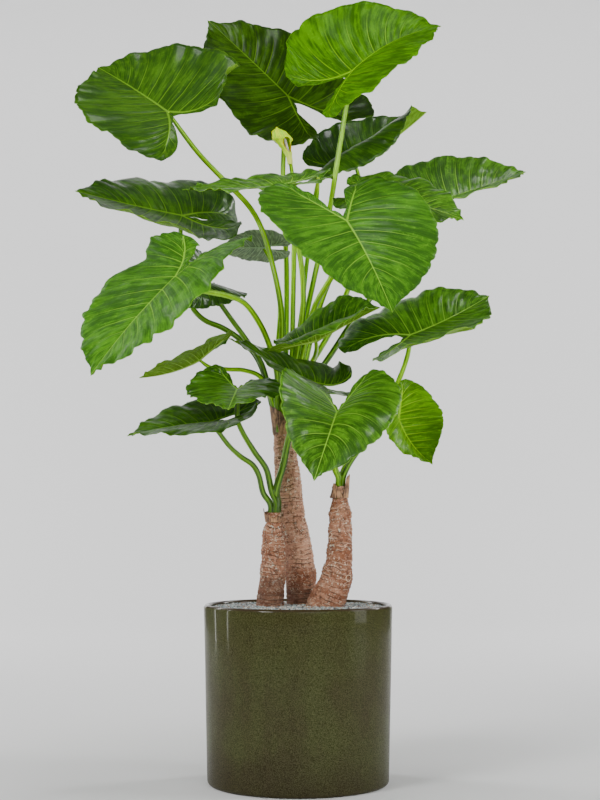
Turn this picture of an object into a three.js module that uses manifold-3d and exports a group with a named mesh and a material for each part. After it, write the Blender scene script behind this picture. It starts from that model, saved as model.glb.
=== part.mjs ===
// Potted calidora alocasia, about 1.8 m tall, in a glazed planter.
// Millimetres, +Z up. The origin is the middle of the planter's flat bottom, and -Y is its front.
import * as THREE from 'three';
import Module from 'manifold-3d';
import { mergeVertices } from 'three/addons/utils/BufferGeometryUtils.js';

const wasm = await Module();
wasm.setup();
const { Manifold } = wasm;

// Driving dimensions

const GAP = 0.3;

const POT_HEIGHT = 404;
const POT_RIM_RADIUS = 215;
const POT_BASE_RADIUS = 206;
const POT_WALL = 12;
const POT_FLOOR = 16;
const POT_SIDES = 36;

const SOIL_TOP = 376;
const GRAVEL_TOP = 400;
const GRAVEL_RELIEF = 4;
const GRAVEL_GRAIN = 28;

const BLADE_THICKNESS = 1.6;
const TRUNK_SIDES = 10;
const STALK_SIDES = 6;
const STALK_STEPS = 9;

// Small helpers

const radians = THREE.MathUtils.degToRad;
const vec = (p) => new THREE.Vector3(p[0], p[1], p[2]);

function finish(colour, roughness) {
  return new THREE.MeshStandardMaterial({ color: colour, roughness, metalness: 0 });
}

const leafGreen = finish(0x3f6b1d, 0.42);
const leafBright = finish(0x6b9a22, 0.42);
const stalkGreen = finish(0x7ba82c, 0.45);
const trunkBrown = finish(0x6d4a3c, 0.85);
const sheathBrown = finish(0x8a6238, 0.8);
const glaze = finish(0x5d5c3a, 0.18);
const soilBrown = finish(0x3a2c22, 0.95);
const gravelGrey = finish(0x7d7f88, 0.8);
const spatheGreen = finish(0xa9bf62, 0.5);
const spadixPink = finish(0xe6cfc2, 0.6);

// A pseudo-random number from 0 to 1 that depends only on its two whole numbers.
function scatter(i, j) {
  const s = Math.sin(i * 127.1 + j * 311.7 + 17) * 43758.5453;
  return s - Math.floor(s);
}

function toSolid(geometry) {
  let g = geometry.clone();
  g.deleteAttribute('normal');
  g.deleteAttribute('uv');
  g = mergeVertices(g, 1e-4);
  const index = [];
  for (let i = 0; i < g.index.count; i += 3) {
    const [a, b, c] = [0, 1, 2].map((k) => g.index.getX(i + k));
    if (a !== b && b !== c && c !== a) index.push(a, b, c);
  }
  const mesh = new wasm.Mesh({
    numProp: 3,
    vertProperties: new Float32Array(g.attributes.position.array),
    triVerts: new Uint32Array(index),
  });
  return new Manifold(mesh);
}

function toGeometry(solid) {
  const mesh = solid.getMesh();
  const g = new THREE.BufferGeometry();
  g.setAttribute('position', new THREE.BufferAttribute(new Float32Array(mesh.vertProperties), 3));
  g.setIndex(new THREE.BufferAttribute(new Uint32Array(mesh.triVerts), 1));
  return g;
}

const plant = new THREE.Group();

function add(name, solid, material) {
  const geometry = toGeometry(solid).toNonIndexed();
  geometry.computeVertexNormals();
  const mesh = new THREE.Mesh(geometry, material);
  mesh.name = name;
  plant.add(mesh);
}

// What is left of a cut solid is its largest piece.
function largest(solid) {
  const pieces = solid.decompose();
  return pieces.reduce((best, piece) => (piece.volume() > best.volume() ? piece : best));
}

// A round bar along a smooth curve through hand-placed points. radiusAt(share, angle) gives its
// radius, with share running from 0 at the foot to 1 at the end.
function barAlong(points, radiusAt, sides, steps, spread = 1) {
  const curve = new THREE.CatmullRomCurve3(points.map(vec), false, 'centripetal');
  const bar = new THREE.CylinderGeometry(1, 1, 1, sides, steps);
  const frames = curve.computeFrenetFrames(steps, false);
  const position = bar.attributes.position;
  const offset = new THREE.Vector3();
  for (let i = 0; i < position.count; i += 1) {
    const share = position.getY(i) + 0.5;
    const step = Math.round(share * steps);
    const rim = Math.hypot(position.getX(i), position.getZ(i));
    const angle = Math.round((Math.atan2(position.getZ(i), position.getX(i)) / (2 * Math.PI)) * sides);
    const turn = (angle * 2 * Math.PI) / sides;
    const radius = rim * radiusAt(Math.pow(share, spread), turn);
    const centre = curve.getPointAt(Math.min(1, step / steps));
    offset.copy(frames.normals[step]).multiplyScalar(radius * Math.cos(turn));
    offset.addScaledVector(frames.binormals[step], -radius * Math.sin(turn));
    centre.add(offset);
    position.setXYZ(i, centre.x, centre.y, centre.z);
  }
  return toSolid(bar);
}

// The planter: a thick glazed pot with a rounded foot and a rounded, slightly rolled rim

// A turned shape about the Z axis from a profile of radius and height
function turned(profile, sides) {
  const lathe = new THREE.LatheGeometry(profile, sides);
  lathe.rotateX(Math.PI / 2);
  return toSolid(lathe);
}

function planterSolid() {
  const profile = new THREE.Path();
  const inner = POT_RIM_RADIUS - POT_WALL;
  profile.moveTo(0, 0);
  profile.lineTo(POT_BASE_RADIUS - 9, 0);
  profile.quadraticCurveTo(POT_BASE_RADIUS, 0, POT_BASE_RADIUS + 0.3, 10);
  profile.lineTo(POT_RIM_RADIUS - 1, POT_HEIGHT - 8);
  profile.quadraticCurveTo(POT_RIM_RADIUS, POT_HEIGHT, POT_RIM_RADIUS - POT_WALL / 2, POT_HEIGHT);
  profile.quadraticCurveTo(inner - 1, POT_HEIGHT, inner, POT_HEIGHT - 9);
  profile.lineTo(POT_BASE_RADIUS - POT_WALL, POT_FLOOR);
  profile.lineTo(0, POT_FLOOR);
  return turned(profile.getPoints(3), POT_SIDES);
}

// Inside of the pot at a height, with the gap that touching pieces keep
function potInside(z) {
  const share = (z - POT_FLOOR) / (POT_HEIGHT - 9 - POT_FLOOR);
  const atFloor = POT_BASE_RADIUS - POT_WALL;
  const atRim = POT_RIM_RADIUS - POT_WALL;
  return THREE.MathUtils.lerp(atFloor, atRim, share) - GAP / Math.cos(Math.PI / POT_SIDES);
}

// The trunks: woody stems ringed by leaf scars. Each point is followed by the radius there.

const SCAR_SPACING = 36;
const SCAR_RELIEF = 0.8;

const trunks = {
  left: [
    [-63, -20, 340, 30], [-63, -20, 405, 32.5], [-59, -20, 459, 29], [-56, -20, 503, 29],
    [-56, -20, 568, 23.8], [-55, -20, 587, 18.5], [-55, -20, 612, 17],
  ],
  main: [
    [12, 45, 310, 34], [9, 45, 400, 35], [2, 45, 500, 36], [-16, 45, 595, 33.5],
    [-26, 45, 710, 29.5], [-31, 45, 775, 27], [-32, 45, 838, 24],
  ],
  right: [
    [50, -30, 340, 41], [62, -30, 401, 44], [81, -30, 446, 37.5], [91.5, -29, 491, 32.5],
    [95, -26, 541, 27], [96, -22, 612, 25.5], [95, -20, 638, 18.5], [94, -20, 672, 17],
  ],
};

// The radius at a share of the way along points that carry one
function radiusAlong(points, share) {
  const reach = [0];
  for (let i = 1; i < points.length; i += 1) {
    reach.push(reach[i - 1] + vec(points[i]).distanceTo(vec(points[i - 1])));
  }
  const at = share * reach[reach.length - 1];
  const last = Math.max(1, reach.findIndex((r) => r >= at - 1e-9));
  const part = (at - reach[last - 1]) / (reach[last] - reach[last - 1]);
  const blend = THREE.MathUtils.smoothstep(part, -0.3, 1.3);
  return THREE.MathUtils.lerp(points[last - 1][3], points[last][3], blend);
}

function trunkSolid(points, extra) {
  const height = points[points.length - 1][2] - points[0][2];
  const rings = Math.round(height / SCAR_SPACING);
  const radiusAt = (share, turn) => {
    const scar = SCAR_RELIEF * Math.cos(2 * Math.PI * share * rings);
    return radiusAlong(points, share) * (1 + 0.03 * Math.cos(3 * turn + 7 * share)) + scar + extra;
  };
  return barAlong(points, radiusAt, TRUNK_SIDES, rings * 2);
}

// A leaf blade. The half outline runs from the notch behind the stalk's end, round the lobe and
// along the edge to the tip, in shares of the length from stalk to tip: across, then along.

const EDGE = [
  [0, -0.09], [0.075, -0.2], [0.12, -0.38], [0.19, -0.56], [0.33, -0.67], [0.49, -0.63],
  [0.62, -0.49], [0.71, -0.28], [0.75, -0.06], [0.745, 0.16], [0.69, 0.36], [0.6, 0.54],
  [0.47, 0.7], [0.32, 0.83], [0.17, 0.92], [0.055, 0.985], [0, 1.04],
];
const LOBE_VEIN_END = [0.26, -0.48];
const LOBE_TOP = 4;
const SHOULDER = 9;
const TIP = 16;
const HALF_WIDTH = 0.75;
const LOBE_LENGTH = 0.57;
const NOTCH = 0.09;
const INSIDE_END = 4.5;
const LOBE_STEPS = 4;
const MIDRIB_STEPS = 9;
const ACROSS = 3;
const ARC_STEPS = 12;

const edgePoints = EDGE.map((p) => new THREE.Vector3(p[0], p[1], 0));
const edgeCurve = new THREE.CatmullRomCurve3(edgePoints, false, 'catmullrom', 0.5);

function edgeAt(place) {
  return edgeCurve.getPoint(place / TIP);
}

// The vein that the blade spreads from: the lobe's own vein, then the midrib
function veinAt(place) {
  if (place >= SHOULDER) return [0, (1.04 * (place - SHOULDER)) / (TIP - SHOULDER)];
  const out = place < LOBE_TOP ? place / LOBE_TOP : (SHOULDER - place) / (SHOULDER - LOBE_TOP);
  return [LOBE_VEIN_END[0] * out, LOBE_VEIN_END[1] * out];
}

function leafFrame(leaf) {
  const heading = radians(leaf.heading);
  const pitch = radians(leaf.pitch);
  const roll = radians(leaf.roll);
  const along = new THREE.Vector3(Math.cos(heading), Math.sin(heading), Math.tan(pitch)).normalize();
  const level = new THREE.Vector3(Math.sin(heading), -Math.cos(heading), 0);
  const upright = new THREE.Vector3().crossVectors(level, along);
  const up = upright.clone().multiplyScalar(Math.cos(roll)).addScaledVector(level, Math.sin(roll));
  const across = level.clone().multiplyScalar(Math.cos(roll)).addScaledVector(upright, -Math.sin(roll));
  return { along, up, across };
}

// Where a share of the length along the midrib ends up once the blade arches
function arch(leaf, lobe, share) {
  const back = -share - NOTCH;
  if (back > 0) {
    const angle = (radians(lobe) * back) / LOBE_LENGTH;
    const flat = Math.abs(angle) < 1e-6 ? 1 : Math.sin(angle) / angle;
    const drop = Math.abs(angle) < 1e-6 ? 0 : (1 - Math.cos(angle)) / angle;
    return { y: -NOTCH - back * flat, z: -back * drop, angle: -angle };
  }
  if (share < 0) return { y: share, z: 0, angle: 0 };
  let y = 0;
  let z = 0;
  for (let i = 0; i < ARC_STEPS; i += 1) {
    const at = (share * (i + 0.5)) / ARC_STEPS;
    const angle = radians(leaf.bend * at + leaf.curl * at ** 3);
    y += (Math.cos(angle) * share) / ARC_STEPS;
    z -= (Math.sin(angle) * share) / ARC_STEPS;
  }
  return { y, z, angle: radians(leaf.bend * share + leaf.curl * share ** 3) };
}

// A point of one half pressed flat, in shares of the length: across, then along. A lobe may be
// shorter or slimmer than usual, or fuller on its inside.
function flatPoint(leaf, half, place, spread) {
  const edge = edgeAt(place);
  const vein = veinAt(place);
  const fuller = leaf.inner[half] * Math.sin((Math.PI * Math.min(place, INSIDE_END)) / INSIDE_END);
  const a = THREE.MathUtils.lerp(vein[0], Math.max(edge.x - fuller, edge.x / 4), spread);
  const along = THREE.MathUtils.lerp(vein[1], edge.y, spread);
  const b = along < -NOTCH ? (along + NOTCH) * leaf.lobeLength[half] - NOTCH : along;
  const slim = 1 - THREE.MathUtils.smoothstep(b, -0.2, 0.25);
  return [Math.abs(a) * leaf.width * THREE.MathUtils.lerp(1, leaf.lobeWidth[half], slim), b];
}

// A point of a blade: side -1 or 1, place along the half outline, spread from 0 at the vein to 1 at
// the edge, and lift in millimetres square to the surface.
function bladePoint(leaf, side, place, spread, lift) {
  const half = side > 0 ? 1 : 0;
  const [a, b] = flatPoint(leaf, half, place, spread);
  const out = THREE.MathUtils.smoothstep(-b, 0, LOBE_LENGTH);
  const fold = radians(leaf.fold[half] + leaf.lobeFold[half] * out);
  const roll = (radians(leaf.side[half] + leaf.lobeSide[half] * out) * a) / HALF_WIDTH;
  const steep = fold + roll;
  let x = a * Math.cos(fold);
  let z = a * Math.sin(fold);
  if (Math.abs(roll) > 1e-6) {
    x = (a * (Math.sin(steep) - Math.sin(fold))) / roll;
    z = (a * (Math.cos(fold) - Math.cos(steep))) / roll;
  }
  const ease = Math.min(1, Math.max(0, (place - 1) / 3)) * Math.min(1, Math.max(0, (15.8 - place) / 1.5));
  const swing = (Math.PI * leaf.waves * (place - 4)) / 6 + leaf.phase + side;
  const ripple = leaf.wave * spread ** 2 * ease * Math.sin(swing);
  x -= ripple * Math.sin(steep);
  z += ripple * Math.cos(steep);
  const tilt = a > 1e-6 ? steep : 0;
  const raise = lift / leaf.length;
  x -= raise * Math.sin(tilt);
  z += raise * Math.cos(tilt);
  const twist = radians(leaf.twist) * b;
  const acrossBlade = side * x * Math.cos(twist) + z * Math.sin(twist);
  const above = -side * x * Math.sin(twist) + z * Math.cos(twist);
  const arc = arch(leaf, leaf.lobes[half], b);
  const frame = leafFrame(leaf);
  return vec(leaf.joint)
    .addScaledVector(frame.across, leaf.length * acrossBlade)
    .addScaledVector(frame.along, leaf.length * (arc.y + above * Math.sin(arc.angle)))
    .addScaledVector(frame.up, leaf.length * (arc.z + above * Math.cos(arc.angle)));
}

function outlinePlaces() {
  const places = [];
  for (let i = 0; i <= LOBE_STEPS; i += 1) places.push((LOBE_TOP * i) / LOBE_STEPS);
  for (let i = 1; i <= LOBE_STEPS; i += 1) {
    places.push(LOBE_TOP + ((SHOULDER - LOBE_TOP) * i) / LOBE_STEPS);
  }
  for (let i = 1; i <= MIDRIB_STEPS; i += 1) {
    places.push(SHOULDER + ((TIP - SHOULDER) * i) / MIDRIB_STEPS);
  }
  return places;
}

// A closed sheet with both faces split alike. Clearance makes the larger copy that cuts a stalk.
function bladeSolid(leaf, clearance = 0) {
  const places = outlinePlaces();
  const corners = [];
  const quad = (a, b, c, d, flip) => {
    const order = flip ? [a, c, b, a, d, c] : [a, b, c, a, c, d];
    order.forEach((p) => corners.push(p.x, p.y, p.z));
  };
  const thin = (place, spread) => BLADE_THICKNESS * (1 - 0.3 * Math.max(spread, (place - SHOULDER) / 7));
  for (const side of [-1, 1]) {
    const at = (i, k, under) => {
      const spread = k / ACROSS;
      const lift = under ? -thin(places[i], spread) - clearance : clearance;
      return bladePoint(leaf, side, places[i], spread, lift);
    };
    for (let i = 0; i < places.length - 1; i += 1) {
      for (let k = 0; k < ACROSS; k += 1) {
        for (const under of [false, true]) {
          const flip = under !== side > 0;
          quad(at(i, k, under), at(i + 1, k, under), at(i + 1, k + 1, under), at(i, k + 1, under), flip);
        }
      }
      const [upper, upperNext] = [at(i, ACROSS, false), at(i + 1, ACROSS, false)];
      quad(upper, upperNext, at(i + 1, ACROSS, true), at(i, ACROSS, true), side > 0);
    }
  }
  const geometry = new THREE.BufferGeometry();
  geometry.setAttribute('position', new THREE.Float32BufferAttribute(corners, 3));
  return toSolid(geometry);
}

// The leaves. Joint is where the stalk meets the blade. Heading is the way the midrib points, seen
// from above with 0 to +X and 90 to the back, pitch its climb and roll its lean, in degrees. Width
// is a factor. Fold, side and lobes are the left then the right half's: its slope at the midrib, how
// much it curls by the edge, and how much its lobe bends down. The other pairs are the lobe's own
// length, width, slope, curl and fullness inside. Bend and curl arch the midrib down.
// Foot is the place of the stalk's base in its crown: the way it leans, and its distance out.

const LEAF = {
  width: 1, fold: [10, 10], side: [-20, -20], lobes: [10, 10],
  lobeLength: [1, 1], lobeWidth: [1, 1], lobeFold: [0, 0], lobeSide: [0, 0], inner: [0, 0],
  bend: 20, curl: 0, twist: 0, wave: 0.018, waves: 5, phase: 0, stalk: [7.5, 5.5],
};

const leaves = [
  {
    name: 'top_left', trunk: 'main', foot: [200, 11], joint: [-300, -60, 1530],
    heading: 145, pitch: 35, roll: 0, length: 245, width: 1.14,
    fold: [-25, 55], side: [5, -5], lobes: [45, -60], bend: 5, curl: 0, twist: 0, phase: 0.4,
    route: [
      [-38, 22, 1065], [-60, 28, 1190], [-85, 42, 1275], [-115, 52, 1330], [-175, 30, 1390],
      [-230, -22, 1440], [-275, -55, 1495],
    ],
  },
  {
    name: 'top_middle', trunk: 'main', foot: [95, 11], joint: [-25, 110, 1610],
    heading: 180, pitch: 45, roll: -70, length: 260, width: 0.97,
    fold: [20, -15], side: [0, 0], lobes: [-45, -45], bend: 5, curl: 0, twist: 0, phase: 1.4,
    route: [
      [-28, 88, 1040], [-28, 134, 1200], [-32, 148, 1290], [-37, 150, 1410], [-33, 148, 1535],
      [-30, 130, 1590],
    ],
  },
  {
    name: 'top_right', trunk: 'main', foot: [35, 11], joint: [125, -20, 1635],
    heading: 15, pitch: 45, roll: 0, length: 245, width: 1.1,
    fold: [45, -10], side: [15, -15], lobes: [-45, 15], bend: 30, curl: 0, twist: 5, phase: 2.1,
    route: [
      [12, 55, 1040], [42, 50, 1180], [72, 35, 1310], [87, 18, 1400], [110, 2, 1545],
      [122, -14, 1610],
    ],
  },
  {
    name: 'upper_right_rolled', trunk: 'main', foot: [60, 24], joint: [138, 190, 1466],
    heading: 10, pitch: 29, roll: -20, length: 220, width: 0.98,
    fold: [60, 35], side: [15, -140], lobes: [-40, 25], bend: -15, curl: 0, twist: -4, phase: 0.9,
    route: [[30, 95, 960], [90, 135, 1070], [144, 175, 1240], [152, 205, 1412]],
  },
  {
    name: 'right_outer', trunk: 'main', foot: [20, 24], joint: [370, 230, 1385],
    heading: 12, pitch: 18, roll: 32, length: 205, width: 1.12,
    fold: [18, 25], side: [-10, 0], lobes: [0, 0], bend: -5, curl: 0, twist: 0, phase: 0.2,
    route: [[75, 70, 980], [130, 100, 1065], [245, 170, 1215], [335, 225, 1330]],
  },
  {
    name: 'right_wavy', trunk: 'main', foot: [-10, 24], joint: [208, -60, 1328],
    heading: -12, pitch: -12, roll: 25, length: 172, width: 1.05,
    fold: [20, 5], side: [-20, -20], lobes: [10, 10],
    bend: 12, curl: 0, twist: 0, wave: 0.03, phase: 0.3,
    route: [[35, 18, 1040], [65, 5, 1130], [115, -25, 1230], [180, -55, 1302]],
  },
  {
    name: 'front_middle', trunk: 'main', foot: [-40, 24], joint: [105, -268, 1240],
    heading: -65, pitch: -40, roll: 20, length: 265, width: 0.97,
    fold: [0, 10], side: [-10, 20], lobes: [25, 0], bend: 25, curl: 0, twist: -10, wave: 0.01, phase: 0,
    route: [
      [8, 0, 960], [25, 0, 1040], [38, -12, 1085], [62, -75, 1122], [94, -170, 1165],
      [103, -230, 1202],
    ],
  },
  {
    name: 'left_outer', trunk: 'main', foot: [150, 24], joint: [-272, 40, 1307],
    heading: 192, pitch: 9, roll: -52, length: 245, width: 1.12,
    fold: [13, -1], side: [34, -29], lobes: [-48, 44], lobeFold: [8, -10], lobeSide: [-18, 31],
    inner: [0.08, 0.1], bend: -5, curl: 0, twist: 11, phase: 2.5,
    route: [
      [-95, 40, 970], [-130, 32, 1010], [-175, 26, 1040], [-220, 26, 1060], [-248, 30, 1092],
      [-264, 38, 1170], [-276, 46, 1264],
    ],
  },
  {
    name: 'left_edgewise', trunk: 'main', foot: [-68, 24], joint: [-54, -88, 1352],
    heading: 180, pitch: -5, roll: -22, length: 200, width: 0.58,
    fold: [10, 10], side: [-10, -10], lobes: [-10, -10], bend: -5, curl: 0, twist: 0, phase: 0.6,
    route: [[0, 8, 990], [12, 0, 1100], [0, -40, 1220], [-38, -80, 1310]],
  },
  {
    name: 'left_front', trunk: 'main', foot: [-125, 24], joint: [-264, -275, 1118],
    heading: -160, pitch: -45, roll: 20, length: 275, width: 1.05,
    fold: [-25, 40], side: [-10, 0], lobes: [40, -35],
    lobeLength: [1, 0.58], lobeWidth: [1, 0.77], lobeFold: [0, 8], lobeSide: [0, 80],
    inner: [0.06, 0.13], bend: 10, curl: 0, twist: -10, wave: 0.012, phase: 0.3,
    route: [
      [-48, 2, 930], [-68, -35, 1000], [-90, -72, 1045], [-120, -120, 1080], [-155, -168, 1090],
      [-205, -225, 1093], [-240, -255, 1098],
    ],
  },
  {
    name: 'left_behind', trunk: 'main', foot: [180, 24], joint: [-200, -40, 1137],
    heading: -95, pitch: -10, roll: -40, length: 130, width: 0.9,
    fold: [20, 30], side: [0, -10], lobes: [20, 0], bend: 65, curl: 0, twist: 0, phase: 0,
    route: [[-85, 12, 955], [-120, 5, 1010], [-170, -22, 1078], [-188, -35, 1105]],
  },
  {
    name: 'left_lower', trunk: 'main', foot: [-155, 24], joint: [-230, 20, 965],
    heading: 190, pitch: -30, roll: 5, length: 140, width: 1,
    fold: [20, 25], side: [-20, -10], lobes: [0, 5],
    bend: -25, curl: 0, twist: 0, phase: 0.8, stalk: [6.5, 4.5],
    route: [[-88, 12, 925], [-125, 15, 940], [-165, 20, 943], [-205, 20, 948]],
  },
  {
    name: 'centre_small', trunk: 'main', foot: [-95, 24], joint: [40, -120, 995],
    heading: -5, pitch: 30, roll: 0, length: 155, width: 1.1,
    fold: [60, 30], side: [-50, -60], lobes: [-25, -5],
    bend: 5, curl: 0, twist: 15, phase: 1.8, stalk: [6.5, 4.5],
    route: [[2, 8, 905], [25, 0, 945], [36, -14, 965], [41, -62, 979]],
  },
  {
    name: 'behind_centre', trunk: 'main', foot: [115, 24], joint: [-84, 96, 1240],
    heading: 178, pitch: 3, roll: 38, length: 100, width: 0.66,
    fold: [10, 10], side: [10, -20], lobes: [20, -20],
    bend: 15, curl: 0, twist: 0, phase: 0, stalk: [6, 4],
    route: [[-50, 66, 960], [-44, 74, 1100], [-58, 90, 1190]],
  },
  {
    name: 'low_left', trunk: 'left', foot: [-60, 8], joint: [-135, -150, 885],
    heading: -95, pitch: -20, roll: 10, length: 150, width: 1,
    fold: [5, 20], side: [-35, -10], lobes: [10, -35],
    bend: 0, curl: 0, twist: 5, phase: 0.5, stalk: [8, 5],
    route: [
      [-60, -25, 660], [-73, -40, 712], [-99, -60, 750], [-126, -100, 795], [-135, -128, 820],
      [-135, -138, 850],
    ],
  },
  {
    name: 'low_middle', trunk: 'left', foot: [45, 8], joint: [38.7, -103, 904],
    heading: 180, pitch: 24, roll: 0, length: 210, width: 0.6,
    fold: [-14, 38], side: [-10, -25], lobes: [-35, -85],
    lobeLength: [0.6, 0.8],
    lobeWidth: [1, 1.1],
    lobeFold: [20, 14],
    bend: -6, curl: 0, twist: 12, phase: 1.2, stalk: [9, 6.5],
    route: [[-50, -28, 660], [-34, -36, 720], [-18, -54, 790], [22, -88, 866]],
  },
  {
    name: 'lowest_left', trunk: 'left', foot: [-160, 8], joint: [-194.6, -129, 814.6],
    heading: 185, pitch: -5, roll: -20, length: 180, width: 1,
    fold: [10, 9], side: [-10, -5], lobes: [-50, -5],
    lobeWidth: [0.75, 1],
    bend: 10, curl: 0, twist: 5, phase: 1.7, stalk: [7.5, 5],
    route: [
      [-79, -25, 656], [-90, -35, 698], [-103, -50, 720], [-129, -70, 738], [-153, -90, 760],
      [-180, -112, 795],
    ],
  },
  {
    name: 'low_front', trunk: 'right', foot: [-100, 8], joint: [83, -292, 826],
    heading: -100, pitch: -25, roll: -20, length: 189, width: 1.04,
    fold: [60, 10], side: [-55, 20], lobes: [-15, 20],
    bend: 55, curl: 0, twist: -12, wave: 0.01, phase: 0.5, stalk: [8, 5],
    route: [[84, -42, 710], [80, -110, 765], [74, -195, 797], [72.5, -268, 806]],
  },
  {
    name: 'right_middle', trunk: 'right', foot: [60, 8], joint: [255, -60, 1015],
    heading: 25, pitch: 20, roll: 35, length: 215, width: 1.1,
    fold: [15, 15], side: [-50, 30], lobes: [40, 10],
    bend: -15, curl: 0, twist: 5, phase: 0.7, stalk: [8, 5],
    route: [[110, -20, 720], [140, -20, 780], [200, -30, 855], [240, -50, 940], [252, -60, 985]],
  },
  {
    name: 'low_right', trunk: 'right', foot: [-30, 8], joint: [225, -100, 820],
    heading: 0, pitch: -70, roll: 40, length: 125, width: 1.15,
    fold: [25, 35], side: [5, -25], lobes: [-5, -10],
    bend: -40, curl: 0, twist: 20, phase: 2.2, stalk: [7, 5],
    route: [[118, -34, 725], [165, -62, 785], [198, -76, 808]],
  },
].map((leaf) => ({ ...LEAF, ...leaf }));

const crowns = {
  main: { centre: [-32, 45, 838], reach: 28, rise: 1.25 },
  left: { centre: [-54, -20, 612], reach: 20, rise: 1.3 },
  right: { centre: [94, -20, 672], reach: 20, rise: 1.3 },
};

// A stalk starts low beside its trunk, leans out through its crown and follows its route
function stalkPoints(trunk, foot, route, end) {
  const crown = crowns[trunk];
  const at = (z, spread) => [
    crown.centre[0] + foot[1] * spread * Math.cos(radians(foot[0])),
    crown.centre[1] + foot[1] * spread * Math.sin(radians(foot[0])),
    crown.centre[2] + z,
  ];
  return [at(-40, 0.8), at(0, 0.95), at(crown.reach, crown.rise), ...route, end];
}

function stalkSolid(leaf, extra) {
  const [foot, top] = leaf.stalk;
  const radiusAt = (share) => THREE.MathUtils.lerp(foot, top, share) + extra;
  const points = stalkPoints(leaf.trunk, leaf.foot, leaf.route, leaf.joint);
  return barAlong(points, radiusAt, STALK_SIDES, STALK_STEPS + (leaf.route.length > 5 ? 2 : 0));
}

// Each stalk is nested against its trunk, the stalks made before it and its own blade
const made = [];
for (const [name, trunk] of Object.entries(trunks)) {
  add(`trunk_${name}`, trunkSolid(trunk, 0), trunkBrown);
  made.push({ name, solid: trunkSolid(trunk, GAP) });
}

function nest(solid, extras = []) {
  const near = [...made.map((m) => m.solid), ...extras].filter((other) => {
    const a = solid.boundingBox();
    const b = other.boundingBox();
    return [0, 1, 2].every((k) => a.min[k] < b.max[k] && b.min[k] < a.max[k]);
  });
  return largest(near.reduce((rest, other) => rest.subtract(other), solid));
}

for (const leaf of leaves) {
  const bright = leaf.name === 'top_right' || leaf.name === 'low_right';
  add(`blade_${leaf.name}`, bladeSolid(leaf), bright ? leafBright : leafGreen);
  add(`stalk_${leaf.name}`, nest(stalkSolid(leaf, 0), [bladeSolid(leaf, GAP + 0.05)]), stalkGreen);
  made.push({ name: leaf.name, solid: stalkSolid(leaf, GAP) });
}

// The flower: a stalk, a pale hood with an open front, and the spadix inside it

const flower = {
  foot: [-30, 12],
  route: [[-14, 34, 1000], [-12, 28, 1100], [-10, 20, 1200], [-8, 18, 1310], [-12, 4, 1378]],
  end: [-19, -26, 1427],
  hood: [-34, -31, 1463],
  hoodSize: [24, 21, 39],
  hoodLean: -22,
  wall: 2,
};

function flowerStalk(extra) {
  const radiusAt = (share) => (share > 0.72 ? 8 : 6) - 3 * Math.max(0, share - 0.85) * 5 + extra;
  return barAlong(stalkPoints('main', flower.foot, flower.route, flower.end), radiusAt, 8, 12);
}

function hoodSolid(grow) {
  const ball = new THREE.SphereGeometry(1, 10, 8);
  ball.scale(...flower.hoodSize.map((r) => r + grow));
  return toSolid(ball);
}

function placedHood(solid) {
  const lean = solid.rotate([0, flower.hoodLean, 0]);
  return lean.translate(flower.hood);
}

function hoodShell() {
  const window = new THREE.SphereGeometry(1, 8, 6);
  window.scale(13, 30, 26);
  window.translate(8, -24, 2);
  return placedHood(hoodSolid(0).subtract(hoodSolid(-flower.wall)).subtract(toSolid(window)));
}

const spadixPoints = [[-19.2, -26, 1427.4], [-25.5, -30, 1450], [-31, -33, 1474]];
const spadix = barAlong(spadixPoints, (share) => 4.5 - 1.5 * share, 8, 4);
const stalkHole = barAlong([flower.route[4], flower.end, [-23.5, -29.5, 1442]], () => 5.9, 8, 3);
const flowerBar = flowerStalk(0).subtract(barAlong(spadixPoints, (share) => 4.9 - 1.5 * share, 8, 4));
add('flower_hood', hoodShell().subtract(stalkHole), spatheGreen);
add('flower_spadix', spadix, spadixPink);
const hoodClearance = placedHood(hoodSolid(0.3).subtract(hoodSolid(-flower.wall - 0.3)));
add('flower_stalk', nest(flowerBar, [hoodClearance]), stalkGreen);
made.push({ name: 'flower', solid: flowerStalk(GAP) });

// The youngest leaf, still rolled into a spear

const spear = {
  foot: [-30, 2],
  route: [[4, 36, 1050], [20, 28, 1190], [36, 20, 1309]],
  end: [50, 20, 1412],
};

function spearSolid(extra) {
  const radiusAt = (share) => {
    const swell = Math.min(1, 0.25 + (share - 0.72) / 0.4);
    const leafPart = share > 0.72 ? 9 * Math.sin(Math.PI * swell) : 5;
    return Math.max(1.2, leafPart) + extra;
  };
  return barAlong(stalkPoints('main', spear.foot, spear.route, spear.end), radiusAt, 8, 14);
}
add('rolled_leaf', nest(spearSolid(0)), leafBright);
made.push({ name: 'spear', solid: spearSolid(GAP) });

// Papery old sheaths round the tops of the trunks, each cut off at a slant

const SHEATH_WALL = 1.6;
const sheaths = {
  main: { at: [-32, 45], bottom: 792, top: 880, radius: [26.8, 36], middle: 822, slope: [-1.1, -0.4] },
  left: { at: [-55.3, -20], bottom: 590, top: 632, radius: [19.5, 24], middle: 611, slope: [-0.1, 0.3] },
  right: { at: [94, -20], bottom: 645, top: 720, radius: [21, 24], middle: 668, slope: [0.9, -0.3] },
};

function sheathSolid(sheath) {
  const [low, high] = sheath.radius;
  const profile = [
    new THREE.Vector2(low, sheath.bottom),
    new THREE.Vector2(low + SHEATH_WALL, sheath.bottom),
    new THREE.Vector2(high + SHEATH_WALL * 0.7, sheath.top),
    new THREE.Vector2(high, sheath.top),
    new THREE.Vector2(low, sheath.bottom),
  ];
  const [x, y] = sheath.at;
  const [riseX, riseY] = sheath.slope;
  const edge = new THREE.Vector3(riseX, riseY, -1).normalize();
  const middle = new THREE.Vector3(x, y, sheath.middle);
  return turned(profile, 14).translate([x, y, 0]).trimByPlane(edge.toArray(), edge.dot(middle));
}

for (const [name, sheath] of Object.entries(sheaths)) {
  add(`sheath_${name}`, nest(sheathSolid(sheath)), sheathBrown);
}

// The planter, the soil with plain holes for the trunks, and the gravel that covers it

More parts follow.
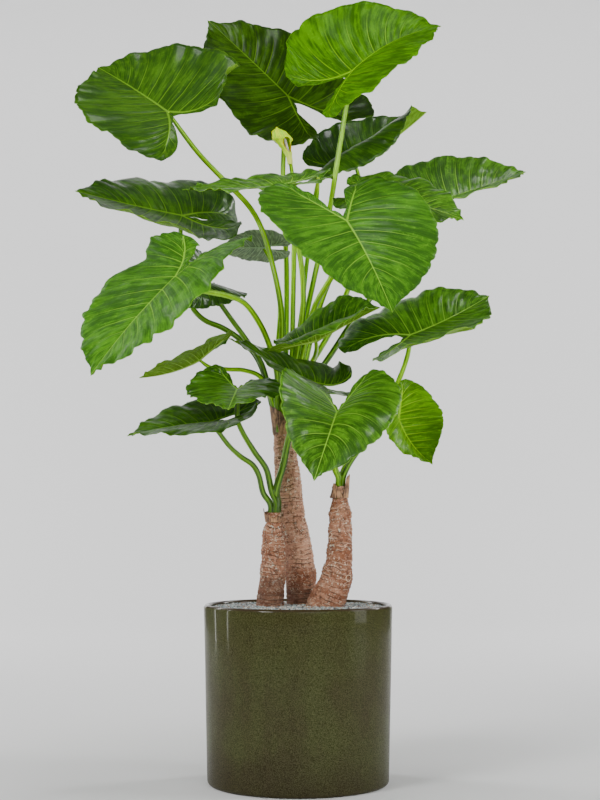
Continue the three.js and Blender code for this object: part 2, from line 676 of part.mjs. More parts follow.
add('planter', planterSolid(), glaze);

function filling(bottom, top) {
  const profile = [
    new THREE.Vector2(0, bottom),
    new THREE.Vector2(potInside(bottom), bottom),
    new THREE.Vector2(potInside(top), top),
    new THREE.Vector2(0, top),
  ];
  return turned(profile, POT_SIDES);
}

add('soil', nest(filling(POT_FLOOR + GAP, SOIL_TOP)), soilBrown);

function gravelSolid() {
  const cells = Math.round((2 * POT_RIM_RADIUS) / GRAVEL_GRAIN);
  const depth = GRAVEL_TOP - SOIL_TOP - GAP;
  const bed = new THREE.BoxGeometry(2 * POT_RIM_RADIUS, 2 * POT_RIM_RADIUS, depth, cells, cells, 1);
  bed.translate(0, 0, SOIL_TOP + GAP + depth / 2);
  const position = bed.attributes.position;
  for (let i = 0; i < position.count; i += 1) {
    if (position.getZ(i) < GRAVEL_TOP - 1) continue;
    const x = position.getX(i);
    const y = position.getY(i);
    const mound = 1 - (x * x + y * y) / (2 * POT_RIM_RADIUS ** 2);
    const bump = scatter(Math.round(x), Math.round(y)) - 0.5;
    position.setZ(i, GRAVEL_TOP - 6 + 6 * mound + GRAVEL_RELIEF * bump);
  }
  const edge = new THREE.CylinderGeometry(potInside(SOIL_TOP) - 3, potInside(SOIL_TOP) - 3, 60, POT_SIDES);
  edge.rotateX(Math.PI / 2);
  edge.translate(0, 0, GRAVEL_TOP);
  return toSolid(bed).intersect(toSolid(edge));
}
add('gravel', nest(gravelSolid()), gravelGrey);

export default plant;
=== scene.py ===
import math
import random

import bmesh
import bpy
from mathutils import Matrix, Vector, noise


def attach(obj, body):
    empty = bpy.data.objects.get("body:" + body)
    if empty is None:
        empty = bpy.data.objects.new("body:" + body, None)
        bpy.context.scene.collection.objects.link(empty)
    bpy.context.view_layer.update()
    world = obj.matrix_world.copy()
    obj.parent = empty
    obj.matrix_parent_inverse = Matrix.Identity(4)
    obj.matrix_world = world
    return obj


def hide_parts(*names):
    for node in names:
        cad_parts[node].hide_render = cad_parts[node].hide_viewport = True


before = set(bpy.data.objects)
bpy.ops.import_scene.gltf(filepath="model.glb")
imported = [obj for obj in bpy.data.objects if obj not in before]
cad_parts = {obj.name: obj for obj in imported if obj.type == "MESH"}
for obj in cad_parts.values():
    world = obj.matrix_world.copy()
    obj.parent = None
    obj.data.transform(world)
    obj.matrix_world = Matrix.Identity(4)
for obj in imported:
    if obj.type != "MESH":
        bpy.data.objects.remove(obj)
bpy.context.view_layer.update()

# The camera stands 3.7 m in front of the planter, 0.63 m above the floor, and looks up a little.
# The sizes that follow are millimetres, as on the part's drawing, and MM turns them into metres.

MM = 0.001
CAMERA_PLACE = Vector((4.2, -3700, 628.4)) * MM
CAMERA_PITCH = 3.744
CAMERA_LENS = 72.45

camera_data = bpy.data.cameras.new("camera")
camera_data.lens = CAMERA_LENS
camera = bpy.data.objects.new("camera", camera_data)
camera.location = CAMERA_PLACE
camera.rotation_euler = (math.radians(90 + CAMERA_PITCH), 0, 0)
bpy.context.scene.collection.objects.link(camera)
bpy.context.scene.camera = camera


# The studio: a white paper sweep that is floor and wall in one, under large soft lamps at both
# sides and overhead.


def piece(name, mesh, materials, smooth=True):
    """A finished object at the origin, made from a bmesh."""
    data = bpy.data.meshes.new(name)
    mesh.to_mesh(data)
    mesh.free()
    for material in materials:
        data.materials.append(material)
    data.polygons.foreach_set("use_smooth", [smooth] * len(data.polygons))
    made = bpy.data.objects.new(name, data)
    bpy.context.scene.collection.objects.link(made)
    return made


class Wire:
    """A socket of a material. Sums on it add Math nodes, and the rest add other kinds."""

    def __init__(self, tree, socket):
        self.tree = tree
        self.socket = socket

    def node(self, kind, settings=None, sockets=None, out=0):
        made = self.tree.nodes.new(kind)
        for name, value in (settings or {}).items():
            setattr(made, name, value)
        for name, value in (sockets or {}).items():
            if isinstance(value, Wire):
                self.tree.links.new(value.socket, made.inputs[name])
            else:
                made.inputs[name].default_value = value
        return Wire(self.tree, made.outputs[out])

    def maths(self, operation, *others):
        values = dict(enumerate((self, *others)))
        return self.node("ShaderNodeMath", {"operation": operation}, values)

    def __add__(self, other):
        return self.maths("ADD", other)

    def __sub__(self, other):
        return self.maths("SUBTRACT", other)

    def __mul__(self, other):
        return self.maths("MULTIPLY", other)

    def __truediv__(self, other):
        return self.maths("DIVIDE", other)

    def __rsub__(self, other):
        return self.node("ShaderNodeMath", {"operation": "SUBTRACT"}, {0: other, 1: self})

    def __abs__(self):
        return self.maths("ABSOLUTE")

    __radd__ = __add__
    __rmul__ = __mul__

    def step(self, low, high, start=0.0, end=1.0):
        """Runs smoothly from start to end while the value runs from low to high."""
        sockets = {0: self, 1: low, 2: high, 3: start, 4: end}
        return self.node("ShaderNodeMapRange", {"interpolation_type": "SMOOTHSTEP"}, sockets)

    def noise(self, scale, detail=2.0, roughness=0.5, distortion=0.0):
        sockets = {"Vector": self, "Scale": scale, "Detail": detail}
        sockets.update({"Roughness": roughness, "Distortion": distortion})
        return self.node("ShaderNodeTexNoise", None, sockets)

    def cells(self, scale, feature="F1"):
        sockets = {"Vector": self, "Scale": scale}
        return self.node("ShaderNodeTexVoronoi", {"feature": feature}, sockets)

    def stretched(self, x, y, z):
        return self.node("ShaderNodeVectorMath", {"operation": "MULTIPLY"}, {0: self, 1: (x, y, z)})

    def parts(self):
        split = self.node("ShaderNodeSeparateXYZ", None, {0: self})
        outputs = split.socket.node.outputs
        return [Wire(self.tree, outputs[k]) for k in range(3)]

    def blend(self, first, second):
        """The first colour where this value is 0, the second where it is 1."""
        pair = [c if isinstance(c, Wire) else (*c, 1) for c in (first, second)]
        sockets = {0: self, 6: pair[0], 7: pair[1]}
        return self.node("ShaderNodeMix", {"data_type": "RGBA"}, sockets, out=2)

    def layered(self, *layers):
        """Lays colours over this one: each with its mask and how much of it shows."""
        tone = self
        for mask, share, colour in layers:
            tone = (mask * share).blend(tone, colour)
        return tone

    def bump(self, depth, strength=1.0):
        sockets = {"Height": self, "Distance": depth, "Strength": strength}
        return self.node("ShaderNodeBump", None, sockets)


class Finish:
    """A new material with one Principled shader; constant values go straight to its sockets."""

    def __init__(self, name, **constants):
        self.material = bpy.data.materials.new(name)
        self.material.use_nodes = True
        self.tree = self.material.node_tree
        self.shader = self.tree.nodes["Principled BSDF"]
        for socket, value in constants.items():
            self.socket(socket).default_value = value

    def lets_light_in(self, weight, scale, radius=None):
        """Light spreads under the surface: how much, how far, and the share of each colour."""
        self.socket("subsurface_weight").default_value = weight
        self.socket("subsurface_scale").default_value = scale
        if radius:
            self.socket("subsurface_radius").default_value = radius

    def socket(self, name):
        """The shader's socket of a plain name, such as base_color."""
        return self.shader.inputs[name.replace("_", " ").title().replace("Ior", "IOR")]

    def coordinates(self):
        texture = self.tree.nodes.new("ShaderNodeTexCoord")
        return Wire(self.tree, texture.outputs["Object"])

    def map(self, name):
        layer = self.tree.nodes.new("ShaderNodeUVMap")
        layer.uv_map = name
        return Wire(self.tree, layer.outputs[0])

    def set(self, **wires):
        for socket, wire in wires.items():
            self.tree.links.new(wire.socket, self.socket(socket))
        return self.material


PAPER_WIDTH = 24
PAPER_FRONT = -4.6
PAPER_BEND = 5
PAPER_RADIUS = 4
PAPER_WALL = 6
PAPER_LENGTH = PAPER_BEND - PAPER_FRONT + 2 * math.pi * PAPER_RADIUS / 4 + PAPER_WALL

paper_mesh = bmesh.new()
bmesh.ops.create_grid(paper_mesh, x_segments=2, y_segments=60, size=0.5)
for vertex in paper_mesh.verts:
    run = (vertex.co.y + 0.5) * PAPER_LENGTH + PAPER_FRONT
    turn = min(max((run - PAPER_BEND) / PAPER_RADIUS, 0), math.pi / 2)
    rise = max(run - PAPER_BEND - PAPER_RADIUS * math.pi / 2, 0)
    back = min(run, PAPER_BEND) + PAPER_RADIUS * math.sin(turn)
    vertex.co = (vertex.co.x * PAPER_WIDTH, back, PAPER_RADIUS * (1 - math.cos(turn)) + rise)
paper_finish = Finish("white_paper", roughness=0.9, base_color=(0.86, 0.86, 0.86, 1))
paper = piece("paper_sweep", paper_mesh, [paper_finish.material])


def softbox(name, place, aim, size, watts):
    lamp = bpy.data.lights.new(name, "AREA")
    lamp.shape = "RECTANGLE"
    lamp.size, lamp.size_y = size
    lamp.energy = watts
    stand = bpy.data.objects.new(name, lamp)
    stand.location = place
    stand.rotation_euler = (Vector(aim) - Vector(place)).to_track_quat("-Z", "Y").to_euler()
    bpy.context.scene.collection.objects.link(stand)


softbox("key_lamp", (-2.6, -3.0, 2.4), (0, 0, 1.1), (1.2, 1.2), 100)
softbox("front_lamp", (1.5, -4.2, 1.6), (0, 0, 0.9), (3.0, 2.0), 85)
softbox("side_lamp", (3.1, -0.6, 1.2), (0, 0, 0.8), (1.0, 2.2), 50)
softbox("strip_lamp_front", (-2.9, 0.1, 0.9), (0, 0, 0.5), (0.12, 1.8), 14)
softbox("strip_lamp_back", (-2.6, 1.3, 0.9), (0, 0, 0.5), (0.12, 1.8), 14)
softbox("top_lamp", (0.2, -0.6, 4.2), (0, 0, 1.2), (1.2, 1.2), 40)
softbox("wall_lamp_left", (-4.5, 3.0, 3.5), (0, 8.5, 1.5), (3, 3), 380)
softbox("wall_lamp_right", (4.5, 3.0, 3.5), (0, 8.5, 1.5), (3, 3), 380)

CARD_HEIGHT = 1.5
CARD_LIFT = 0.02


def dark_card(name, start, end):
    """An upright dark board beside the set. The glaze and the leaves mirror it as a dark edge."""
    mesh = bmesh.new()
    bmesh.ops.create_grid(mesh, x_segments=1, y_segments=1, size=0.5)
    for vertex in mesh.verts:
        share = vertex.co.x + 0.5
        x, y = (a + (b - a) * share for a, b in zip(start, end))
        vertex.co = (x, y, CARD_LIFT + (vertex.co.y + 0.5) * CARD_HEIGHT)
    card = piece(name, mesh, [card_finish.material])
    card.visible_camera = False
    card.visible_shadow = False


card_finish = Finish("dark_card", roughness=0.9, base_color=(0.02, 0.02, 0.02, 1))
dark_card("dark_card_left", (-3.4, 0.4), (-1.9, 3.6))
dark_card("dark_card_right", (3.4, 0.8), (1.9, 3.6))

AIR_LOW = 0.66
AIR_HIGH = 1.6

world = bpy.data.worlds.new("studio_air")
world.use_nodes = True
air = world.node_tree.nodes["Background"]
sky = Wire(world.node_tree, world.node_tree.nodes.new("ShaderNodeTexCoord").outputs["Generated"])
brightness = sky.parts()[2].step(-0.05, 0.75, AIR_LOW, AIR_HIGH)
world.node_tree.links.new(brightness.socket, air.inputs["Strength"])
bpy.context.scene.world = world


# The planter: one thrown stoneware cylinder with a rounded lip, dipped in an olive and brown glaze
# that runs thin and brown over the lip, with pin holes and specks.

POT_RIM_RADIUS = 215
POT_BASE_RADIUS = 206
POT_HEIGHT = 404
POT_WALL = 12
POT_FLOOR = 16
POT_STEPS = 160
POT_UNEVEN = 0.0025
FOOT_ROUND = (9, 10)
LIP_ROUND = (6, 8)
QUARTER_STEPS = 7


def quarter(centre, across, up, start, end):
    """Points on a quarter of an ellipse, from one angle to another in degrees."""
    shares = [k / QUARTER_STEPS for k in range(QUARTER_STEPS + 1)]
    angles = [math.radians(start + (end - start) * share) for share in shares]
    return [(centre[0] + across * math.cos(a), centre[1] + up * math.sin(a)) for a in angles]


def weld(mesh):
    bmesh.ops.remove_doubles(mesh, verts=mesh.verts, dist=1e-6)
    bmesh.ops.recalc_face_normals(mesh, faces=mesh.faces)


def spun(profile, steps):
    """A closed shell turned from a profile of (radius, height) that starts and ends on the axis."""
    mesh = bmesh.new()
    corners = [mesh.verts.new((r * MM, 0, z * MM)) for r, z in profile]
    edges = [mesh.edges.new(pair) for pair in zip(corners, corners[1:])]
    turn = {"cent": (0, 0, 0), "axis": (0, 0, 1), "angle": 2 * math.pi, "steps": steps}
    bmesh.ops.spin(mesh, geom=corners + edges, use_merge=True, **turn)
    weld(mesh)
    return mesh


def wall_radius(z):
    return POT_BASE_RADIUS + (POT_RIM_RADIUS - POT_BASE_RADIUS) * z / POT_HEIGHT


inner_rim = POT_RIM_RADIUS - POT_WALL
lip_foot = POT_HEIGHT - LIP_ROUND[1]
pot_profile = [(0, 0), (150, 0)]
pot_profile += quarter((POT_BASE_RADIUS - FOOT_ROUND[0], FOOT_ROUND[1]), *FOOT_ROUND, -90, 0)
pot_profile += [(wall_radius(z), z) for z in range(30, 390, 30)]
pot_profile += quarter((POT_RIM_RADIUS - LIP_ROUND[0], lip_foot), *LIP_ROUND, 0, 90)
pot_profile += quarter((inner_rim + LIP_ROUND[0], lip_foot), *LIP_ROUND, 90, 180)[1:]
pot_profile += [(inner_rim - 5, 200), (POT_BASE_RADIUS - POT_WALL, POT_FLOOR), (0, POT_FLOOR)]
pot_mesh = spun(pot_profile, POT_STEPS)
for vertex in pot_mesh.verts:
    soft = noise.noise(vertex.co * 6) * 0.5 + noise.noise(vertex.co * 17) * 0.25
    vertex.co.xy *= 1 + soft * POT_UNEVEN * min(1, vertex.co.z / 0.02)

glaze = Finish("glaze", specular_ior_level=0.04, coat_roughness=0.05)
glaze.socket("coat_ior").default_value = 1.35
spot = glaze.coordinates()
height = spot.parts()[2]
cloud = spot.noise(7, 3, 0.55)
runs = spot.stretched(1, 1, 0.22).noise(26, 3, 0.6)
body = (cloud * 0.65 + runs * 0.35).step(0.36, 0.64)
thin = (spot.noise(12, 2) * 0.006 + height).step(0.399, 0.405)
foot = (spot.noise(9, 2) * 0.08 + height).step(0.05, 0.17, 1, 0)
high = (spot.noise(5, 2) * 0.2 + height).step(0.3, 0.46)
grain = spot.noise(480, 2, 0.75)
speckle = grain.step(0.36, 0.66)
green = speckle.blend((0.028, 0.031, 0.008), (0.092, 0.1, 0.04))
brown = speckle.blend((0.026, 0.023, 0.008), (0.08, 0.073, 0.035))
lush = speckle.blend((0.02, 0.022, 0.002), (0.084, 0.09, 0.022))
dusky = speckle.blend((0.02, 0.016, 0.007), (0.056, 0.046, 0.024))
pin = spot.cells(95).step(0.07, 0.13, 1, 0) * spot.noise(21, 1).step(0.56, 0.6)
tone = body.blend(brown, green).layered(
    (high, 0.4, lush),
    (foot, 0.6, dusky),
    (thin, 0.85, (0.05, 0.03, 0.018)),
    (pin, 0.85, (0.008, 0.007, 0.005)),
)
relief = spot.noise(60, 2, 0.5) * 0.4 + grain * 0.12 - pin * 0.8
glaze.set(
    base_color=tone,
    roughness=speckle.step(0, 1, 0.42, 0.3),
    coat_weight=thin.step(0, 1, 0.2, 0.9),
    normal=relief.bump(0.0012, 0.3),
)
pot = piece("glazed_planter", pot_mesh, [glaze.material])
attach(pot, "root")
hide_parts("planter")


# The soil: dark potting mix, filled to a finger's width below the lip. It shows only in the ring
# between the gravel and the wall.

earth = Finish("potting_mix", roughness=0.95)
spot = earth.coordinates()
crumb = spot.noise(160, 4, 0.65)
tone = crumb.step(0.35, 0.7).blend((0.018, 0.012, 0.008), (0.085, 0.058, 0.036))
earth.set(base_color=tone, normal=crumb.bump(0.004, 0.8))
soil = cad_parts["soil"]
soil.data.materials.clear()
soil.data.materials.append(earth.material)


# The gravel: crushed stone of 4 to 8 mm, blue-grey with brown and pale grains, heaped a little
# round the trunks and pushed back from the wall.

GRAVEL_TOP = 402
GRAVEL_FOOT = 380
GRAVEL_EDGE = 199
MOUND_DROP = 6
MOUND_RISE = 5
MOUND_RIPPLE = 1.6
BED_SINK = 3
BED_STEPS = 12
BED_TURNS = 72
GRAVEL_SPACING = 5.6
GRAIN_SIZE = (2.6, 4.4)
GRAIN_STRAY = 0.45
GRAIN_SINK = 0.3
STONE_SHARES = [6, 2.2, 2.4, 1.6]

scatter = random.Random(11)


def gravel_height(x, y):
    mound = 1 - (x * x + y * y) / GRAVEL_EDGE**2
    if mound <= 0:
        return GRAVEL_TOP - MOUND_DROP - 1
    ripple = noise.noise(Vector((x, y, 0)) * 0.02) * MOUND_RIPPLE
    return GRAVEL_TOP - MOUND_DROP + MOUND_RISE * mound**0.5 + ripple


def stone(name, dark, light):
    finish = Finish(name, roughness=0.8)
    grain = finish.coordinates().noise(420, 2, 0.6)
    patch = finish.coordinates().noise(90, 1)
    tone = (grain * 0.5 + patch * 0.5).step(0.36, 0.62).blend(dark, light)
    return finish.set(base_color=tone, normal=grain.bump(0.0006, 0.6))


stone_finishes = [
    stone("blue_grey_stone", (0.12, 0.16, 0.18), (0.46, 0.54, 0.56)),
    stone("pale_stone", (0.55, 0.55, 0.52), (0.9, 0.88, 0.84)),
    stone("brown_stone", (0.18, 0.1, 0.075), (0.5, 0.34, 0.27)),
    stone("dark_stone", (0.02, 0.022, 0.026), (0.075, 0.08, 0.09)),
]

bed_radii = [GRAVEL_EDGE * (1 - k / BED_STEPS) for k in range(BED_STEPS + 1)]
bed_profile = [(0, GRAVEL_FOOT), (GRAVEL_EDGE, GRAVEL_FOOT)]
bed_profile += [(r, gravel_height(r, 0) - BED_SINK) for r in bed_radii]
bed = piece("gravel_bed", spun(bed_profile, BED_TURNS), [stone_finishes[3]])
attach(bed, "root")
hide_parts("gravel")

grain_mesh = bmesh.new()
row_data = bpy.data.meshes.new("one_row_of_grains")
reach = int(GRAVEL_EDGE / GRAVEL_SPACING)
for row in range(-reach, reach + 1):
    row_mesh = bmesh.new()
    for column in range(-reach, reach + 1):
        x = (column + scatter.uniform(-GRAIN_STRAY, GRAIN_STRAY)) * GRAVEL_SPACING
        y = (row + scatter.uniform(-GRAIN_STRAY, GRAIN_STRAY)) * GRAVEL_SPACING
        if math.hypot(x, y) > GRAVEL_EDGE - 1:
            continue
        size = scatter.uniform(*GRAIN_SIZE)
        z = gravel_height(x, y) - size * GRAIN_SINK
        place = Matrix.Translation(Vector((x, y, z)) * MM)
        spin = Matrix.Rotation(scatter.uniform(0, 6.3), 4, Vector((x, y, size)).normalized())
        shape = Matrix.Diagonal((1, scatter.uniform(0.7, 1), scatter.uniform(0.5, 0.8), 1))
        tint = scatter.choices([0, 1, 2, 3], STONE_SHARES)[0]
        grown = bmesh.ops.create_icosphere(
            row_mesh, subdivisions=1, radius=size * MM, matrix=place @ spin @ shape
        )
        middle = place.translation
        for vertex in grown["verts"]:
            vertex.co = middle + (vertex.co - middle) * scatter.uniform(0.78, 1.12)
            for face in vertex.link_faces:
                face.material_index = tint
    row_mesh.to_mesh(row_data)
    row_mesh.free()
    grain_mesh.from_mesh(row_data)
bpy.data.meshes.remove(row_data)
grains = piece("gravel_grains", grain_mesh, stone_finishes, smooth=False)
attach(grains, "root")


# The trunks: three woody stems, ringed by the scars of leaves that fell, with bud scars between the
# rings. The bark is thin and reddish brown, with cream flecks and crusts.

TRUNKS = {
    "left": [
        (-63, -20, 340, 30), (-63, -20, 405, 32.5), (-59, -20, 459, 29), (-56, -20, 503, 29),
        (-56, -20, 568, 23.8), (-55, -20, 587, 18.5), (-55, -20, 612, 17),
    ],
    "main": [
        (12, 45, 310, 34), (9, 45, 400, 35), (2, 45, 500, 36), (-16, 45, 595, 33.5),
        (-26, 45, 710, 29.5), (-31, 45, 775, 27), (-32, 45, 838, 24),
    ],
    "right": [
        (50, -30, 340, 41), (62, -30, 401, 44), (81, -30, 446, 37.5), (91.5, -29, 491, 32.5),
        (95, -26, 541, 27), (96, -22, 612, 25.5), (95, -20, 638, 18.5), (94, -20, 672, 17),
    ],
}
TRUNK_SIDES = 96
TRUNK_RING = 1.6
CURVE_STEPS = 40
MEAN_RADIUS = 34
BLEND_OVER = 0.3
BARK_INSET = 0.6
SCAR_SPACING = 9.5
SCAR_DEPTH = 0.9
SCAR_WIDTH = 0.13
BAND_HEIGHT = 0.5
BUD_RIM = 2
BUD_KNOB = 0.9
BUD_PIT = 0.8
BUD_FLATNESS = 1.2
# Painted shade: the bark is darkened at each trunk's foot, least at the turn given here in radians
# and most opposite it, and fades out between the two heights given next.
PAINTED_SHADE_TURN = {"left": 0, "main": 0.6, "right": 3.4}
PAINTED_SHADE_FOOT = (395, 520)
BUDS = {
    "left": [(-70, 560, 5), (-120, 470, 6), (60, 520, 6), (150, 440, 5)],
    "main": [(-95, 668, 7), (-75, 552, 7.5), (20, 620, 6), (120, 590, 7), (-150, 740, 6)],
    "right": [(-120, 560, 7), (-60, 478, 8), (-85, 610, 5), (60, 540, 6), (130, 470, 8)],
}


def along_curve(points, steps):
    """Points a like distance apart on a smooth curve through given points."""
    ends = [2 * points[0] - points[1], *points, 2 * points[-1] - points[-2]]
    dense = []
    for k in range(len(points) - 1):
        before, start, end, after = ends[k : k + 4]
        first = (start - before).length ** 0.5 or 1
        middle = (end - start).length ** 0.5 or 1
        last = (after - end).length ** 0.5 or 1
        ahead = (end - start) / middle
        leave = (start - before) / first - (end - before) / (first + middle) + ahead
        arrive = ahead - (after - start) / (middle + last) + (after - end) / last
        leave, arrive = leave * middle, arrive * middle
        for share in [j / CURVE_STEPS for j in range(CURVE_STEPS + (k == len(points) - 2))]:
            square, cube = share**2, share**3
            place = start * (1 - 3 * square + 2 * cube) + end * (3 * square - 2 * cube)
            dense.append(place + leave * (share - 2 * square + cube) + arrive * (cube - square))
    reached = [0]
    for one, two in zip(dense, dense[1:]):
        reached.append(reached[-1] + (two - one).length)
    places, k = [], 0
    for step in range(steps + 1):
        goal = reached[-1] * step / steps
        while k < len(dense) - 2 and reached[k + 1] < goal:
            k += 1
        part = (goal - reached[k]) / (reached[k + 1] - reached[k])
        places.append(dense[k].lerp(dense[k + 1], part))
    return places


def smooth_share(value, low, high):
    share = min(1, max(0, (value - low) / (high - low)))
    return share * share * (3 - 2 * share)


def bar(mesh, points, steps, sides, radius_at, maps_at=None):
    """A closed round bar along points in millimetres; radius_at(share, turn, place) is in mm."""
    line = along_curve([Vector(p) for p in points], steps)
    frames = []
    side = Vector((0, 1, 0))
    for k in range(steps + 1):
        ahead = (line[min(k + 1, steps)] - line[max(k - 1, 0)]).normalized()
        side = (side - ahead * side.dot(ahead)).normalized()
        frames.append((side, side.cross(ahead)))
    made = bmesh.ops.create_grid(mesh, x_segments=sides, y_segments=steps, size=0.5)["verts"]
    for vertex in made:
        turn = (vertex.co.x + 0.5) * 2 * math.pi
        row = round((vertex.co.y + 0.5) * steps)
        share = row / steps
        out, level = frames[row]
        middle = line[row]
        direction = out * math.cos(turn) + level * math.sin(turn)
        if maps_at:
            maps_at(vertex, share, turn, middle)
        vertex.co = (middle + direction * radius_at(share, turn, middle)) * MM
    bmesh.ops.remove_doubles(mesh, verts=made, dist=2e-6)
    rims = [edge for edge in mesh.edges if edge.is_boundary]
    bmesh.ops.holes_fill(mesh, edges=rims, sides=0)
    bmesh.ops.recalc_face_normals(mesh, faces=mesh.faces)


def trunk_radius(points, z):
    for low, high in zip(points, points[1:]):
        if z <= high[2]:
            break
    part = min(max((z - low[2]) / (high[2] - low[2]), -BLEND_OVER), 1 + BLEND_OVER)
    ease = (part + BLEND_OVER) / (1 + 2 * BLEND_OVER)
    return low[3] + (high[3] - low[3]) * ease * ease * (3 - 2 * ease)


def round_stem(z, turn):
    return Vector((math.cos(turn) * MEAN_RADIUS, math.sin(turn) * MEAN_RADIUS, z))


def bark_scar(z, turn):
    """Counts the leaf scars up the stem: a whole number at each, with their drift round it."""
    round_place = round_stem(z, turn)
    drift = noise.noise(round_place * 0.022) * 7 + noise.noise(round_place * 0.08) * 2.5
    return (z + drift) / SCAR_SPACING


def bud_distance(name, z, turn):
    """How far a place is from the nearest bud scar, in shares of the scar's size."""
    nearest = 3
    for angle, height, size in BUDS[name]:
        around = (turn - math.radians(angle) + math.pi) % (2 * math.pi) - math.pi
        nearest = min(nearest, math.hypot(around * 30, (z - height) * BUD_FLATNESS) / size)
    return nearest


def bark_relief(name, z, turn):
    """Height of the bark over the smooth stem, in millimetres."""
    round_place = round_stem(z, turn)
    ring = bark_scar(z, turn) % 1
    groove = -SCAR_DEPTH * math.exp(-((min(ring, 1 - ring) / SCAR_WIDTH) ** 2))
    band = BAND_HEIGHT * math.sin(math.pi * ring) ** 0.6
    lumps = noise.noise(round_place * 0.04) * 3 + noise.noise(round_place * 0.12) * 1.2
    wrinkle = noise.noise(round_place * 0.3) * 0.8
    far = bud_distance(name, z, turn)
    bud = BUD_RIM * math.exp(-((far - 0.9) ** 2) * 16) + BUD_KNOB * math.exp(-(far**2) * 9)
    return groove + band + lumps + wrinkle + bud - BUD_PIT * (far < 0.75)


bark = Finish("bark", roughness=0.75, specular_ior_level=0.3)
spot = bark.coordinates()
_, count, _ = bark.map("scars").parts()
# This map carries each place's distance from its nearest bud, then the painted shade at the trunk's
# foot, which falls below zero where the main trunk is painted lighter.
far, low, _ = bark.map("buds_and_painted_shade").parts()
ring = count.maths("FRACT")
whole = count.maths("FLOOR")
band = spot.node("ShaderNodeCombineXYZ", None, {0: whole * 3.7, 1: whole * 1.9}).noise(1, 1)
patch = spot.noise(17, 3, 0.6) * 0.7 + band * 0.3
tone = patch.step(0.4, 0.6).blend((0.25, 0.088, 0.04), (0.45, 0.215, 0.128))
# Painted light: above its foot the main trunk is lifted towards a light brown, in place of the
# light that the leaves above it keep off.
tone = low.step(-0.4, -0.05, 0.45, 0).blend(tone, (0.75, 0.42, 0.28))
fibre = spot.stretched(1, 1, 0.6).noise(130, 3, 0.65, 0.8)
cross = spot.stretched(1, 1, 1.1).noise(125, 4, 0.72, 0.3)
edge = ring.step(0.05, 0.16) * ring.step(0.2, 0.45, 1, 0) * spot.noise(40, 2).step(0.46, 0.6)
scar = abs(ring - 0.5).step(0.36, 0.49) * spot.noise(34, 2).step(0.42, 0.6)
fleck = spot.stretched(1, 1, 1.3).noise(230, 3, 0.6, 0.6).step(0.58, 0.66)
fleck = fleck * spot.noise(30, 2).step(0.38, 0.54)
crust = spot.noise(95, 3, 0.7).step(0.58, 0.66) * spot.noise(10, 1).step(0.46, 0.6)
eye = far.step(0.7, 0.85) * far.step(0.95, 1.15, 1, 0)
pit = far.step(0.5, 0.68) * far.step(0.72, 0.86, 1, 0) + far.step(0.12, 0.3, 1, 0)
# Painted shade: the foot of each trunk darkens on one side.
shade = (low + spot.noise(14, 2) * 0.4).step(0.35, 0.85)
tone = tone.layered(
    (fibre.step(0.5, 0.62), 0.7, (0.1, 0.04, 0.024)),
    (cross.step(0.56, 0.68), 0.5, (0.95, 0.68, 0.5)),
    (cross.step(0.34, 0.45, 1, 0), 0.6, (0.1, 0.045, 0.028)),
    (edge, 0.4, (0.85, 0.6, 0.42)),
    (scar, 0.85, (0.055, 0.025, 0.016)),
    (fleck, 0.85, (1, 0.86, 0.66)),
    (crust, 0.65, (0.78, 0.8, 0.66)),
    (eye, 0.75, (0.85, 0.62, 0.42)),
    (pit, 0.8, (0.07, 0.032, 0.02)),
    (shade, 0.55, (0.07, 0.035, 0.022)),
)
relief = cross * 0.5 + fibre * -0.35 + fleck * 0.5 + crust * 0.3 - scar * 0.6
bark.set(base_color=tone, normal=relief.bump(0.0022, 0.8))

for name, points in TRUNKS.items():
    steps = round((points[-1][2] - points[0][2]) / TRUNK_RING)
    trunk_mesh = bmesh.new()
    scars = trunk_mesh.loops.layers.uv.new("scars")
    buds_and_painted_shade = trunk_mesh.loops.layers.uv.new("buds_and_painted_shade")

    def bark_radius(share, turn, place):
        relief = bark_relief(name, place.z, turn)
        return trunk_radius(points, place.z) - BARK_INSET + relief * (1 if share < 0.97 else 0.3)

    def bark_maps(vertex, share, turn, place):
        # Painted shade: darker towards the foot, most on the side opposite the turn given for the
        # trunk.
        foot = 1 - smooth_share(place.z, *PAINTED_SHADE_FOOT)
        shade = foot * (0.5 - 0.5 * math.cos(turn - PAINTED_SHADE_TURN[name]))
        # Painted light: above its foot the main trunk's value goes below zero, and its bark is
        # painted lighter there.
        shade -= 0.4 * (1 - foot) if name == "main" else 0
        for loop in vertex.link_loops:
            loop[scars].uv = (share, bark_scar(place.z, turn))
            loop[buds_and_painted_shade].uv = (bud_distance(name, place.z, turn), shade)

    bar(trunk_mesh, [p[:3] for p in points], steps, TRUNK_SIDES, bark_radius, bark_maps)
    trunk = piece("woody_trunk_" + name, trunk_mesh, [bark.material])
    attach(trunk, "root")
    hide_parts("trunk_" + name)


# The leaf stalks: smooth, round, juicy stems, lime green, with pale and deep streaks along them
# painted in for their lit and shaded sides, and darker towards the foot, where each widens and
# clasps its trunk.

STALK_SIDES = 18
STALK_STEPS = 60
STALK_END = 3
CLASP_WIDTH = 1.8
CLASP_SHARE = 0.16
NECK_WIDTH = 1.6
CROWNS = {
    "main": {"centre": (-32, 45, 838), "reach": 28, "rise": 1.25},
    "left": {"centre": (-54, -20, 612), "reach": 20, "rise": 1.3},
    "right": {"centre": (94, -20, 672), "reach": 20, "rise": 1.3},
}

# Each leaf: foot is the stalk's place in its crown, as the way it leans and its distance out. Joint
# is where the stalk meets the blade. Heading is the way the midrib points, seen from above with 0
# to +X, pitch its climb and roll its lean. Fold, side and lobes are the left then the right half's:
# slope at the midrib, curl by the edge and bend of the lobe. The other pairs are the lobe's own
# length, width, slope, curl and fullness inside. Bend arches the midrib, twist turns the blade
# about it, and wave, phase and frill ripple the edge. Stalk is its radius at the foot and the top.

